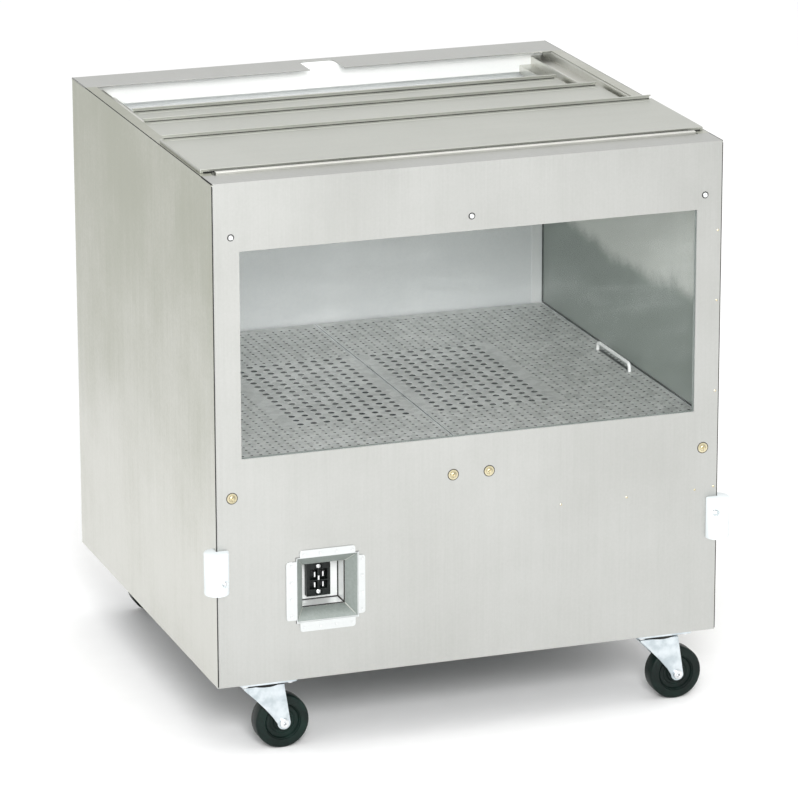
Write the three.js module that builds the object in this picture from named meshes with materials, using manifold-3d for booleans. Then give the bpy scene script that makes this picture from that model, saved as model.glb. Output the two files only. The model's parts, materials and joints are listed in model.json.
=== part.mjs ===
// Proofing cabinet: a stainless steel dough proofing box on four swivel casters. Three lids
// slide over one another on stepped tracks, the front has a window, a two-piece false floor
// lies over a water pan and its strip heater, and the power inlet sits in a funnel-shaped recess.
// Millimetres, +Z up, front facing -Y. The origin is on the ground, under the middle of the
// outline with its corner bumpers.
import * as THREE from 'three';
import { mergeVertices } from 'three/addons/utils/BufferGeometryUtils.js';
import Module from 'manifold-3d';

const wasm = await Module();
wasm.setup();

// ---------------------------------------------------------------- driving dimensions
const BODY_WIDTH = 726;
const BODY_DEPTH = 672;
const BODY_HEIGHT = 700;
const SHEET = 1.2;
const GAP = 0.3; // left between pieces that touch

const FRONT_FLANGE = 46.5;
const BACK_FLANGE = 70;
const SIDE_FLANGE = 17;
const PANEL_FRONT_RETURN = 5;
const PANEL_BACK_RETURN = 19;
const FRONT_CORNER_RADIUS = 4;
const FRONT_PANEL_INSET = 1.6; // from the cabinet's side, leaving a shadow line at each corner

const NOTCH_WIDTH = 52;
const NOTCH_DEPTH = 55;
const NOTCH_RADIUS = 8;

const COAMING_RISE = 4;
const COAMING_THICKNESS = 7.5;
const COAMING_END_INSET = 21;
const REAR_RAIL_DEPTH = 37;
const REAR_RAIL_HEIGHT = 35;

const TRACK_STEP = 12.7; // drop from one lid's ledge to the next
const TRACK_LEDGE = 18; // width of each ledge

const LID_DEPTH = 184;
const LID_EDGE = 5; // height of the turned-down edges
const LID_REAR_LIP = 4.8;
const LIP_INSET = 4; // from the lid's side to the end of its lip
const LID_SIDE_INSET = 6; // from the outer end of its ledge
const FRONT_LID_OVERHANG = 4; // from the cabinet's side to the front lid's edge
const FRONT_LID_SETBACK = 62.5;
const MIDDLE_LID_SHARE = 0.266; // of the opening's length, behind the front lid
const REAR_LID_SHARE = 0.465;

const WINDOW_MARGIN = 37;
const WINDOW_BOTTOM = 320;
const WINDOW_TOP = 606;
const PANE_OVERLAP = 12;
const PANE_THICKNESS = 4;
const RETAINER_RIM = 19; // past the pane's edge

const FLOOR_TOP = 299;
const FLOOR_EDGE = 12;
const FLOOR_CLEARANCE = 1.7; // to the nearest wall or retainer
const FLOOR_SEAM = 1.5;
const LEDGE_WIDTH = 23;
const LEDGE_DROP = 32;
const SCREW_SHARE = 0.62; // of the ledge's drop, down to its screws
const BEAM_WIDTH = 42;
const BEAM_HEIGHT = 23;
const BEAM_TAB_REACH = 14; // past each side of the beam

const HANDLE_LENGTH = 127;
const HANDLE_HEIGHT = 14;
const HANDLE_BAR = 5;
const HANDLE_WALL_DISTANCE = 17;

const WINDOW_SCREW_LIFT = 20; // above the window's top edge
const WINDOW_SCREW_INSET = 25.5;
const LEDGE_SCREW_INSET = 23;
const LEDGE_SCREW_SPREAD = 26; // from the middle to each of the beam's screws
const SCREW_HOLE_CLEARANCE = 0.4;
const SMALL_SCREW = { head: 4.2, height: 2.6, shank: 2, length: 12 };
const LARGE_SCREW = { head: 7.1, height: 3.4, shank: 3, length: 12 };

const INLET_LEFT = 113;
const INLET_BOTTOM = 81;
const MOUTH_WIDTH = 87;
const MOUTH_HEIGHT = 91;
const THROAT = 61;
const FUNNEL_DEPTH = 17;
const INLET_BOX_DEPTH = 30;
const BEZEL_SHEET = 1;
const BEZEL_TABS = { left: 15.5, right: 10, top: 11, bottom: 13.5 };
const TAB_SHORTENING = 4; // at each end of a tab
const TAB_RADIUS = 4;
const SOCKET_WIDTH = 34;
const SOCKET_HEIGHT = 48;
const SOCKET_DEPTH = 34;
const SOCKET_REACH = 9; // in front of the recess's back wall
const SOCKET_WALL = 4;
const SOCKET_RECESS = 18;
const SOCKET_PIN = { width: 2, height: 6, length: 11, spread: 7 };

const BUMPER_RADIUS = 17;
const BUMPER_HEIGHT = 60;
const BUMPER_BOTTOM = 135;
const BUMPER_SCREW_OFFSET = 7.7; // from the cabinet's side
const LEFT_BUMPER_SCREW = 17; // above the bumper's bottom end
const RIGHT_BUMPER_SCREW = 40;
const COUNTERBORE_DEPTH = 6;

const PAN_RIM = 25; // bottom pan's turned-up edge
const CHANNEL_WIDTH = 70;
const CHANNEL_HEIGHT = 22;
const STAND_DROP = 139; // below the false floor's top
const STAND_MARGIN = 8; // past the water pan
const WATER_PAN = { width: 345, depth: 285, height: 64, wall: 1.2 };
const HEATER = { width: 38, length: 280, thickness: 8 };
const THERMOSTAT = { width: 40, depth: 60, height: 50 };

const CASTER_HEIGHT = 105;
const CASTER_SIDE_INSET = 73.5;
const CASTER_END_INSET = 35;
const CASTER_TRAIL = 25;
const CASTER_PLATE = { width: 82, depth: 66, thickness: 3, corner: 6 };
const RACE = { radius: 24, height: 7 };
const WHEEL_RADIUS = 38;
const WHEEL_WIDTH = 28;
const WHEEL_SIDE_CLEARANCE = 1.5;
const HUB_SHARE = 0.34; // of the wheel's radius
const WEB_SHARE = 0.62;
const WEB_RECESS = 4;
const RIM_RECESS = 1;
const TREAD_BEVEL = { in: 2, down: 3 };
const FORK_SHEET = 3;
const CROWN = { front: 31, back: 26 }; // reach of the fork's crown either side of its pivot
const FORK_TIP_RADIUS = 9.3;
const FORK_HOLLOW = { in: 20, up: 19 }; // where the front edge's bend aims, from the axle
const AXLE_RADIUS = 4;
const AXLE_CLEARANCE = 0.3;
const AXLE_HEAD = { radius: 6.5, height: 4 };

const MIDDLE = BODY_WIDTH / 2;
const INNER = SHEET + GAP; // first free place behind an outer sheet
const LEDGE_TOP = FLOOR_TOP - FLOOR_EDGE - GAP;
const SCREW_LEVEL = LEDGE_TOP - SCREW_SHARE * LEDGE_DROP;

// ---------------------------------------------------------------- shape helpers
const X = new THREE.Vector3(1, 0, 0);
const Y = new THREE.Vector3(0, 1, 0);
const Z = new THREE.Vector3(0, 0, 1);
const DIRECTIONS = {
  x: new THREE.Matrix4().makeBasis(Y, Z, X),
  y: new THREE.Matrix4().makeBasis(X, Z, Y.clone().negate()),
  z: new THREE.Matrix4(),
};

// Moves the vertices of a geometry; where(x, y, z) gives each one's new place.
function moved(geometry, where) {
  const position = geometry.attributes.position;
  for (let i = 0; i < position.count; i += 1) {
    position.setXYZ(i, ...where(position.getX(i), position.getY(i), position.getZ(i)));
  }
  return geometry;
}

// Each corner takes its range's own end values, so that faces meant to be level are level.
function block(x, y, z) {
  const end = (range, at) => range[at > 0 ? 1 : 0];
  return moved(new THREE.BoxGeometry(), (a, b, c) => [end(x, a), end(y, b), end(z, c)]);
}

// Extrudes an outline along an axis. Its points are (y, z) along x, (x, z) along y, (x, y) along z.
function extrude(outline, axis, from, to, curveSegments = 4) {
  const shape = outline instanceof THREE.Shape ? outline : new THREE.Shape(outline);
  const [start, end] = axis === 'y' ? [-to, -from] : [from, to];
  const geometry = new THREE.ExtrudeGeometry(shape, { depth: 1, bevelEnabled: false, curveSegments });
  moved(geometry, (a, b, along) => [a, b, along > 0.5 ? end : start]);
  return geometry.applyMatrix4(DIRECTIONS[axis]);
}

function circle(centre, radius, sides) {
  const points = [];
  for (let i = 0; i < sides; i += 1) {
    const turn = (2 * Math.PI * (i + 0.5)) / sides;
    points.push(new THREE.Vector2(centre[0] + radius * Math.cos(turn), centre[1] + radius * Math.sin(turn)));
  }
  return points;
}

// Cross-section of a sheet bent along a line; the sheet lies on the line's left-hand side.
function folded(line, thickness = SHEET) {
  const points = line.map(([a, b]) => new THREE.Vector2(a, b));
  const normals = points.slice(1).map((point, i) => {
    const run = point.clone().sub(points[i]).normalize();
    return new THREE.Vector2(-run.y, run.x);
  });
  const inner = points.map((point, i) => {
    const before = normals[Math.max(i - 1, 0)];
    const after = normals[Math.min(i, normals.length - 1)];
    const offset = before.clone().add(after).multiplyScalar(thickness / (1 + before.dot(after)));
    return point.clone().add(offset);
  });
  return [...points, ...inner.reverse()];
}

function roundedRectangle(x, y, radius) {
  const shape = new THREE.Shape();
  shape.moveTo(x[0] + radius, y[0]);
  shape.lineTo(x[1] - radius, y[0]);
  shape.absarc(x[1] - radius, y[0] + radius, radius, -Math.PI / 2, 0);
  shape.lineTo(x[1], y[1] - radius);
  shape.absarc(x[1] - radius, y[1] - radius, radius, 0, Math.PI / 2);
  shape.lineTo(x[0] + radius, y[1]);
  shape.absarc(x[0] + radius, y[1] - radius, radius, Math.PI / 2, Math.PI);
  shape.lineTo(x[0], y[0] + radius);
  shape.absarc(x[0] + radius, y[0] + radius, radius, Math.PI, 1.5 * Math.PI);
  return shape;
}

// Turns a profile of (radius, height) points about Y, its height running along +Y.
function turned(profile, sides) {
  return new THREE.LatheGeometry(profile.map(([r, h]) => new THREE.Vector2(r, h)), sides);
}

// A block whose front and back faces differ: each face is { x: [..], z: [..] } at its own y.
function tapered(front, back, y) {
  return moved(new THREE.BoxGeometry(), (a, b, c) => {
    const face = b > 0 ? back : front;
    return [face.x[a > 0 ? 1 : 0], y[b > 0 ? 1 : 0], face.z[c > 0 ? 1 : 0]];
  });
}

function solidOf(geometry) {
  const bare = geometry.clone();
  bare.deleteAttribute('normal');
  bare.deleteAttribute('uv');
  const merged = mergeVertices(bare, 1e-4);
  const vertProperties = Float32Array.from(merged.attributes.position.array);
  const triVerts = Uint32Array.from(merged.index.array);
  return new wasm.Manifold(new wasm.Mesh({ numProp: 3, vertProperties, triVerts }));
}

// Joins the pieces of one solid, then cuts the tools out of it.
function carve(pieces, tools = []) {
  let solid = solidOf(pieces[0]);
  for (const piece of pieces.slice(1)) solid = solid.add(solidOf(piece));
  for (const tool of tools) solid = solid.subtract(solidOf(tool));
  const { vertProperties, triVerts } = solid.getMesh();
  const geometry = new THREE.BufferGeometry();
  geometry.setAttribute('position', new THREE.BufferAttribute(vertProperties, 3));
  geometry.setIndex(new THREE.BufferAttribute(triVerts, 1));
  geometry.computeVertexNormals();
  return geometry;
}

function mirrored(range) {
  return [BODY_WIDTH - range[1], BODY_WIDTH - range[0]];
}

// ---------------------------------------------------------------- finishes and placing
const FINISHES = {
  stainless: { color: 0xd3d3ce, roughness: 0.35, metalness: 1 },
  galvanised: { color: 0xb9c4c6, roughness: 0.45, metalness: 1 },
  zinc: { color: 0xd8e2ea, roughness: 0.3, metalness: 1 },
  brass: { color: 0xc8b98a, roughness: 0.35, metalness: 1 },
  nylon: { color: 0xe8eef0, roughness: 0.5, metalness: 0 },
  rubber: { color: 0x17191a, roughness: 0.6, metalness: 0 },
  glass: { color: 0xcfe3e2, roughness: 0.05, metalness: 0, transparent: true, opacity: 0.35 },
  socket: { color: 0x141414, roughness: 0.4, metalness: 0 },
};

// Inside this group x runs from the left side, y from the front face and z from the underside.
const cabinet = new THREE.Group();
cabinet.position.set(-MIDDLE, (BUMPER_RADIUS - BODY_DEPTH) / 2, CASTER_HEIGHT);

function place(name, geometry, finish, parent = cabinet) {
  const mesh = new THREE.Mesh(geometry, new THREE.MeshStandardMaterial(FINISHES[finish]));
  mesh.name = name;
  parent.add(mesh);
  return mesh;
}

// ---------------------------------------------------------------- screws
const windowScrews = [WINDOW_SCREW_INSET, MIDDLE, BODY_WIDTH - WINDOW_SCREW_INSET];
const windowScrewLevel = WINDOW_TOP + WINDOW_SCREW_LIFT;
const beamScrews = [MIDDLE - LEDGE_SCREW_SPREAD, MIDDLE + LEDGE_SCREW_SPREAD];
const ledgeScrews = [LEDGE_SCREW_INSET, ...beamScrews, BODY_WIDTH - LEDGE_SCREW_INSET];
const bumperScrews = [
  { side: 'left', x: BUMPER_SCREW_OFFSET, z: BUMPER_BOTTOM + LEFT_BUMPER_SCREW },
  { side: 'right', x: BODY_WIDTH - BUMPER_SCREW_OFFSET, z: BUMPER_BOTTOM + RIGHT_BUMPER_SCREW },
];

function screwGeometry({ head, height, shank, length }, x, seat, z) {
  const end = length - seat;
  const profile = [
    [0, -height],
    [0.8 * head, -height],
    [head, -0.6 * height],
    [head, 0],
    [shank, 0],
    [shank, end],
    [0, end],
  ];
  return turned(profile, 12).translate(x, seat, z);
}

function screwHole({ shank }, x, z, y) {
  return extrude(circle([x, z], shank + SCREW_HOLE_CLEARANCE, 8), 'y', y[0], y[1]);
}

function placeScrews() {
  const names = ['left', 'centre', 'right'];
  windowScrews.forEach((x, i) => {
    place(`window_screw_${names[i]}`, screwGeometry(SMALL_SCREW, x, -GAP, windowScrewLevel), 'zinc');
  });
  ledgeScrews.forEach((x, i) => {
    place(`ledge_screw_${i + 1}`, screwGeometry(LARGE_SCREW, x, -GAP, SCREW_LEVEL), 'brass');
  });
  for (const { side, x, z } of bumperScrews) {
    const seat = -BUMPER_RADIUS + COUNTERBORE_DEPTH;
    place(`bumper_screw_${side}`, screwGeometry(SMALL_SCREW, x, seat - GAP, z), 'zinc');
  }
}

// ---------------------------------------------------------------- outer shell
function frontPanel() {
  const radius = FRONT_CORNER_RADIUS;
  const [left, right] = [FRONT_PANEL_INSET, BODY_WIDTH - FRONT_PANEL_INSET];
  const face = new THREE.Shape();
  face.moveTo(left, 0);
  face.lineTo(right, 0);
  face.lineTo(right, BODY_HEIGHT - radius);
  face.absarc(right - radius, BODY_HEIGHT - radius, radius, 0, Math.PI / 2);
  face.lineTo(left + radius, BODY_HEIGHT);
  face.absarc(left + radius, BODY_HEIGHT - radius, radius, Math.PI / 2, Math.PI);
  const top = [BODY_HEIGHT - SHEET, BODY_HEIGHT];
  const strip = block([left + radius, right - radius], [0, FRONT_FLANGE], top);
  const flange = block([left, right], [SHEET, FRONT_FLANGE], top);
  const through = [-1, SHEET + 1];
  const pocket = BEZEL_SHEET + 2 * GAP;
  const tools = [
    block([WINDOW_MARGIN, BODY_WIDTH - WINDOW_MARGIN], through, [WINDOW_BOTTOM, WINDOW_TOP]),
    block(
      [INLET_LEFT - pocket, INLET_LEFT + MOUTH_WIDTH + pocket],
      through,
      [INLET_BOTTOM - pocket, INLET_BOTTOM + MOUTH_HEIGHT + pocket],
    ),
    ...windowScrews.map((x) => screwHole(SMALL_SCREW, x, windowScrewLevel, through)),
    ...ledgeScrews.map((x) => screwHole(LARGE_SCREW, x, SCREW_LEVEL, through)),
    ...bumperScrews.map(({ x, z }) => screwHole(SMALL_SCREW, x, z, through)),
  ];
  return carve([extrude(face, 'y', 0, SHEET, 3), strip, flange], tools);
}

function sidePanel(flip) {
  const across = (range) => (flip ? mirrored(range) : range);
  const run = [INNER, BODY_DEPTH - INNER];
  const flangeRun = [FRONT_FLANGE + GAP, BODY_DEPTH - BACK_FLANGE - GAP];
  const returns = [PAN_RIM + 2 * GAP, BODY_HEIGHT - INNER];
  const pieces = [
    block(across([0, SHEET]), run, [0, BODY_HEIGHT - INNER]),
    block(across([0, SHEET]), flangeRun, [0, BODY_HEIGHT]),
    block(across([0, SIDE_FLANGE]), flangeRun, [BODY_HEIGHT - SHEET, BODY_HEIGHT]),
    block(across([0, PANEL_FRONT_RETURN]), [INNER, INNER + SHEET], returns),
    block(across([0, PANEL_BACK_RETURN]), [BODY_DEPTH - INNER - SHEET, BODY_DEPTH - INNER], returns),
  ];
  const screw = bumperScrews[flip ? 1 : 0];
  return carve(pieces, [screwHole(SMALL_SCREW, screw.x, screw.z, [0, 2 * INNER + 1])]);
}

// The notch is a finger hold, open to the flange's front edge.
function backPanel() {
  const edge = BODY_DEPTH - BACK_FLANGE;
  const line = [[BODY_DEPTH, 0], [BODY_DEPTH, BODY_HEIGHT], [edge, BODY_HEIGHT]];
  const half = NOTCH_WIDTH / 2;
  const run = [edge - 2 * NOTCH_RADIUS, edge + NOTCH_DEPTH]; // starts clear of the flange
  const outline = roundedRectangle([MIDDLE - half, MIDDLE + half], run, NOTCH_RADIUS);
  const notch = extrude(outline, 'z', BODY_HEIGHT - SHEET - 1, BODY_HEIGHT + 1);
  return carve([extrude(folded(line), 'x', 0, BODY_WIDTH)], [notch]);
}

function bottomPan() {
  const x = [INNER, BODY_WIDTH - INNER];
  const y = [INNER, BODY_DEPTH - INNER];
  const within = ([low, high]) => [low + SHEET, high - SHEET];
  return carve([block(x, y, [0, PAN_RIM])], [block(within(x), within(y), [SHEET, PAN_RIM + 1])]);
}

function baseChannel(y) {
  const high = INNER + CHANNEL_HEIGHT;
  const line = [[y, INNER], [y, high], [y + CHANNEL_WIDTH, high], [y + CHANNEL_WIDTH, INNER]];
  const end = INNER + SHEET + GAP;
  return extrude(folded(line, -SHEET), 'x', end, BODY_WIDTH - end);
}

function placeShell() {
  place('front_panel', frontPanel(), 'stainless');
  place('side_panel_left', sidePanel(false), 'stainless');
  place('side_panel_right', sidePanel(true), 'stainless');
  place('back_panel', backPanel(), 'stainless');
  place('bottom_pan', bottomPan(), 'galvanised');
  const end = INNER + SHEET + GAP;
  place('base_channel_front', baseChannel(end), 'galvanised');
  place('base_channel_rear', baseChannel(BODY_DEPTH - end - CHANNEL_WIDTH), 'galvanised');
}

// ---------------------------------------------------------------- top opening, tracks and lids
const coamingFront = FRONT_FLANGE + GAP;
const coamingBack = coamingFront + COAMING_THICKNESS;
const railFace = BODY_DEPTH - REAR_RAIL_DEPTH;
const underFlange = BODY_HEIGHT - INNER;
const ledgeLevels = [BODY_HEIGHT, BODY_HEIGHT - TRACK_STEP, BODY_HEIGHT - 2 * TRACK_STEP];

function coaming() {
  const low = BODY_HEIGHT - 3 * TRACK_STEP;
  const top = BODY_HEIGHT + COAMING_RISE;
  const line = [
    [coamingFront, underFlange - TRACK_STEP],
    [coamingFront, top],
    [coamingBack, top],
    [coamingBack, low],
  ];
  return extrude(folded(line, -SHEET), 'x', COAMING_END_INSET, BODY_WIDTH - COAMING_END_INSET);
}

function rearRail() {
  const back = BODY_DEPTH - INNER - INNER;
  const low = underFlange - REAR_RAIL_HEIGHT;
  const line = [[back, underFlange], [railFace, underFlange], [railFace, low], [back, low]];
  const end = PANEL_BACK_RETURN + GAP;
  return extrude(folded(line), 'x', end, BODY_WIDTH - end);
}

// Stairs seen from the front: a tab under the side flange, a ledge for each of two lids, a lip.
function track(flip) {
  const first = SIDE_FLANGE + SHEET;
  const second = first + TRACK_LEDGE;
  const third = second + TRACK_LEDGE;
  const line = [
    [INNER, underFlange],
    [first, underFlange],
    [first, ledgeLevels[1]],
    [second, ledgeLevels[1]],
    [second, ledgeLevels[2]],
    [third, ledgeLevels[2]],
    [third, ledgeLevels[2] - TRACK_STEP],
  ];
  const outline = folded(line, -SHEET).map(({ x, y }) => new THREE.Vector2(flip ? BODY_WIDTH - x : x, y));
  return extrude(outline, 'y', coamingBack + GAP, railFace - GAP);
}

// A tray turned upside down, open at the back, where a lip stands up as the pull.
function lid(inset, setback, level) {
  const x = [inset, BODY_WIDTH - inset];
  const z = [level + GAP, level + GAP + LID_EDGE];
  const back = setback + LID_DEPTH;
  const within = ([low, high], by) => [low + by, high - by];
  const hollow = block(within(x, SHEET), [setback + SHEET, back + 1], [z[0] - 1, z[1] - SHEET]);
  const lip = block(within(x, LIP_INSET), [back - SHEET, back], [z[1] - SHEET, z[1] + LID_REAR_LIP]);
  return carve([block(x, [setback, back], z), lip], [hollow]);
}

function placeTop() {
  place('front_coaming', coaming(), 'stainless');
  place('rear_rail', rearRail(), 'stainless');
  place('track_left', track(false), 'stainless');
  place('track_right', track(true), 'stainless');
  const middleInset = SIDE_FLANGE + LID_SIDE_INSET;
  const setback = (share) => FRONT_LID_SETBACK + share * (railFace - coamingBack);
  place('lid_front', lid(FRONT_LID_OVERHANG, FRONT_LID_SETBACK, ledgeLevels[0]), 'stainless');
  place('lid_middle', lid(middleInset, setback(MIDDLE_LID_SHARE), ledgeLevels[1]), 'stainless');
  place('lid_rear', lid(middleInset + TRACK_LEDGE, setback(REAR_LID_SHARE), ledgeLevels[2]), 'stainless');
}

// ---------------------------------------------------------------- window
function placeWindow() {
  const paneX = [WINDOW_MARGIN - PANE_OVERLAP, BODY_WIDTH - WINDOW_MARGIN + PANE_OVERLAP];
  const paneZ = [WINDOW_BOTTOM - PANE_OVERLAP, WINDOW_TOP + PANE_OVERLAP];
  const paneBack = INNER + SHEET + GAP + PANE_THICKNESS;
  place('window_pane', block(paneX, [paneBack - PANE_THICKNESS, paneBack], paneZ), 'glass');
  const rimX = [PANEL_FRONT_RETURN + GAP, BODY_WIDTH - PANEL_FRONT_RETURN - GAP];
  const rimZ = [paneZ[0] - GAP - SHEET, paneZ[1] + RETAINER_RIM];
  const back = paneBack + GAP + SHEET;
  const start = INNER + SHEET + GAP;
  const within = ([low, high]) => [low + SHEET, high - SHEET];
  const hollow = [
    block(within(rimX), [start - 1, back - SHEET], within(rimZ)),
    block([WINDOW_MARGIN, BODY_WIDTH - WINDOW_MARGIN], [start, back + 1], [WINDOW_BOTTOM, WINDOW_TOP]),
    ...windowScrews.map((x) => screwHole(SMALL_SCREW, x, windowScrewLevel, [start, back + 1])),
  ];
  place('window_retainer', carve([block(rimX, [start, back], rimZ)], hollow), 'stainless');
}

// ---------------------------------------------------------------- false floor and its supports
const floorRun = [
  INNER + SHEET + PANE_THICKNESS + 2 * GAP + SHEET + FLOOR_CLEARANCE,
  BODY_DEPTH - 2 * INNER - FLOOR_CLEARANCE,
];

function floorPanel(flip) {
  const across = (range) => (flip ? mirrored(range) : range);
  const x = across([SHEET + FLOOR_CLEARANCE, MIDDLE - FLOOR_SEAM / 2]);
  const tray = block(x, floorRun, [FLOOR_TOP - FLOOR_EDGE, FLOOR_TOP]);
  const within = ([low, high]) => [low + SHEET, high - SHEET];
  const hollow = block(within(x), within(floorRun), [FLOOR_TOP - FLOOR_EDGE - 1, FLOOR_TOP - SHEET]);
  return carve([tray], [hollow]);
}

function floorHandle(flip) {
  const low = FLOOR_TOP + GAP;
  const high = low + HANDLE_HEIGHT;
  const middle = (floorRun[0] + floorRun[1]) / 2;
  const [start, end] = [middle - HANDLE_LENGTH / 2, middle + HANDLE_LENGTH / 2];
  const line = [[start, low], [start, high], [end, high], [end, low]];
  const x = [HANDLE_WALL_DISTANCE, HANDLE_WALL_DISTANCE + HANDLE_BAR];
  return extrude(folded(line, -HANDLE_BAR), 'x', ...(flip ? mirrored(x) : x));
}

function beamNotch(y) {
  const half = BEAM_WIDTH / 2 + GAP;
  return block([MIDDLE - half, MIDDLE + half], y, [LEDGE_TOP - BEAM_HEIGHT, LEDGE_TOP + 1]);
}

const ledgeEnds = [PANEL_BACK_RETURN + GAP, BODY_WIDTH - PANEL_BACK_RETURN - GAP];
const frontLedgeEnds = [PANEL_FRONT_RETURN + GAP, BODY_WIDTH - PANEL_FRONT_RETURN - GAP];

function frontLedge() {
  const line = [[INNER, LEDGE_TOP - LEDGE_DROP], [INNER, LEDGE_TOP], [INNER + LEDGE_WIDTH, LEDGE_TOP]];
  const holes = ledgeScrews.map((x) => screwHole(LARGE_SCREW, x, SCREW_LEVEL, [0, INNER + SHEET + 1]));
  const angle = extrude(folded(line, -SHEET), 'x', ...frontLedgeEnds);
  return carve([angle], [...holes, beamNotch([INNER + SHEET, INNER + LEDGE_WIDTH + 1])]);
}

function rearLedge() {
  const back = BODY_DEPTH - INNER;
  const line = [[back, LEDGE_TOP - LEDGE_DROP], [back, LEDGE_TOP], [back - LEDGE_WIDTH, LEDGE_TOP]];
  const angle = extrude(folded(line), 'x', ...ledgeEnds);
  return carve([angle], [beamNotch([back - LEDGE_WIDTH - 1, back - SHEET])]);
}

function sideLedge(flip) {
  const line = [[INNER, LEDGE_TOP - LEDGE_DROP], [INNER, LEDGE_TOP], [INNER + LEDGE_WIDTH, LEDGE_TOP]];
  const outline = folded(line, -SHEET).map(({ x, y }) => new THREE.Vector2(flip ? BODY_WIDTH - x : x, y));
  const end = INNER + LEDGE_WIDTH + GAP;
  return extrude(outline, 'y', end, BODY_DEPTH - end);
}

// A channel open below, with a tab at the front for the two middle screws.
function floorBeam() {
  const start = INNER + SHEET + GAP;
  const [left, right] = [MIDDLE - BEAM_WIDTH / 2, MIDDLE + BEAM_WIDTH / 2];
  const low = LEDGE_TOP - BEAM_HEIGHT;
  const line = [[left, low], [left, LEDGE_TOP], [right, LEDGE_TOP], [right, low]];
  const channel = extrude(folded(line, -SHEET), 'y', start, BODY_DEPTH - start);
  const tabX = [left - BEAM_TAB_REACH, right + BEAM_TAB_REACH];
  const tab = block(tabX, [start, start + SHEET], [low - SHEET, LEDGE_TOP - SHEET - GAP]);
  const through = [start - 1, start + SHEET + 1];
  const holes = beamScrews.map((x) => screwHole(LARGE_SCREW, x, SCREW_LEVEL, through));
  return carve([channel, tab], holes);
}

function placeFloor() {
  for (const [side, flip] of [['left', false], ['right', true]]) {
    place(`floor_panel_${side}`, floorPanel(flip), 'galvanised');
    place(`floor_handle_${side}`, floorHandle(flip), 'zinc');
    place(`floor_ledge_${side}`, sideLedge(flip), 'galvanised');
  }
  place('floor_ledge_front', frontLedge(), 'galvanised');
  place('floor_ledge_rear', rearLedge(), 'galvanised');
  place('floor_beam', floorBeam(), 'galvanised');
}

// ---------------------------------------------------------------- humidity pan and heater
function placeHeating() {
  const standTop = FLOOR_TOP - STAND_DROP;
  const centre = BODY_DEPTH / 2;
  const halfWidth = WATER_PAN.width / 2;
  const halfDepth = WATER_PAN.depth / 2;
  const [left, right] = [MIDDLE - halfWidth - STAND_MARGIN, MIDDLE + halfWidth + STAND_MARGIN];
  const stand = [[left, INNER], [left, standTop], [right, standTop], [right, INNER]];
  const standRun = [centre - halfDepth, centre + halfDepth];
  place('pan_stand', extrude(folded(stand, -SHEET), 'y', ...standRun), 'galvanised');

  const x = [MIDDLE - halfWidth, MIDDLE + halfWidth];
  const y = [centre - halfDepth, centre + halfDepth];
  const z = [standTop + GAP, standTop + GAP + WATER_PAN.height];
  const within = ([low, high]) => [low + WATER_PAN.wall, high - WATER_PAN.wall];
  const basin = carve([block(x, y, z)], [block(within(x), within(y), [z[0] + WATER_PAN.wall, z[1] + 1])]);
  place('water_pan', basin, 'stainless');

  const heaterTop = standTop - SHEET - GAP;
  const heaterX = [MIDDLE - HEATER.length / 2, MIDDLE + HEATER.length / 2];
  const heaterY = [centre - HEATER.width / 2, centre + HEATER.width / 2];
  place('heater_strip', block(heaterX, heaterY, [heaterTop - HEATER.thickness, heaterTop]), 'zinc');

  const thermostatX = [left - GAP - THERMOSTAT.width, left - GAP];
  const thermostatY = [centre - THERMOSTAT.depth / 2, centre + THERMOSTAT.depth / 2];
  const thermostatZ = [standTop - THERMOSTAT.height, standTop];
  place('thermostat', block(thermostatX, thermostatY, thermostatZ), 'socket');
}

// ---------------------------------------------------------------- recessed power inlet
const mouth = { x: [INLET_LEFT, INLET_LEFT + MOUTH_WIDTH], z: [INLET_BOTTOM, INLET_BOTTOM + MOUTH_HEIGHT] };
const inletMiddle = { x: INLET_LEFT + MOUTH_WIDTH / 2, z: INLET_BOTTOM + MOUTH_HEIGHT / 2 };

function centred(halfWidth, halfHeight = halfWidth) {
  return {
    x: [inletMiddle.x - halfWidth, inletMiddle.x + halfWidth],
    z: [inletMiddle.z - halfHeight, inletMiddle.z + halfHeight],
  };
}

function grown(face, by) {
  return { x: [face.x[0] - by, face.x[1] + by], z: [face.z[0] - by, face.z[1] + by] };
}

function inletBezel() {
  const y = [-GAP, FUNNEL_DEPTH];
  const throat = centred(THROAT / 2);
  const outer = tapered(grown(mouth, BEZEL_SHEET), grown(throat, BEZEL_SHEET), y);
  const inner = tapered(mouth, throat, y);
  const cap = (at, face) => block(face.x, at, face.z);
  const tabX = [mouth.x[0] - BEZEL_TABS.left, mouth.x[1] + BEZEL_TABS.right];
  const tabZ = [mouth.z[0] - BEZEL_TABS.bottom, mouth.z[1] + BEZEL_TABS.top];
  const shortened = ([low, high]) => [low + TAB_SHORTENING, high - TAB_SHORTENING];
  const tabY = [-GAP - BEZEL_SHEET, -GAP];
  const across = extrude(roundedRectangle(tabX, shortened(mouth.z), TAB_RADIUS), 'y', ...tabY, 2);
  const along = extrude(roundedRectangle(shortened(mouth.x), tabZ, TAB_RADIUS), 'y', ...tabY, 2);
  const rimFace = grown(mouth, BEZEL_SHEET);
  const rim = block(rimFace.x, [tabY[0], tabY[1] + GAP], rimFace.z);
  const tools = [
    inner,
    cap([tabY[0] - 1, y[0]], mouth),
    cap([y[0], 0], mouth),
    cap([y[1] - GAP, y[1] + 1], throat),
  ];
  return carve([outer, across, along, rim], tools);
}

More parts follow.
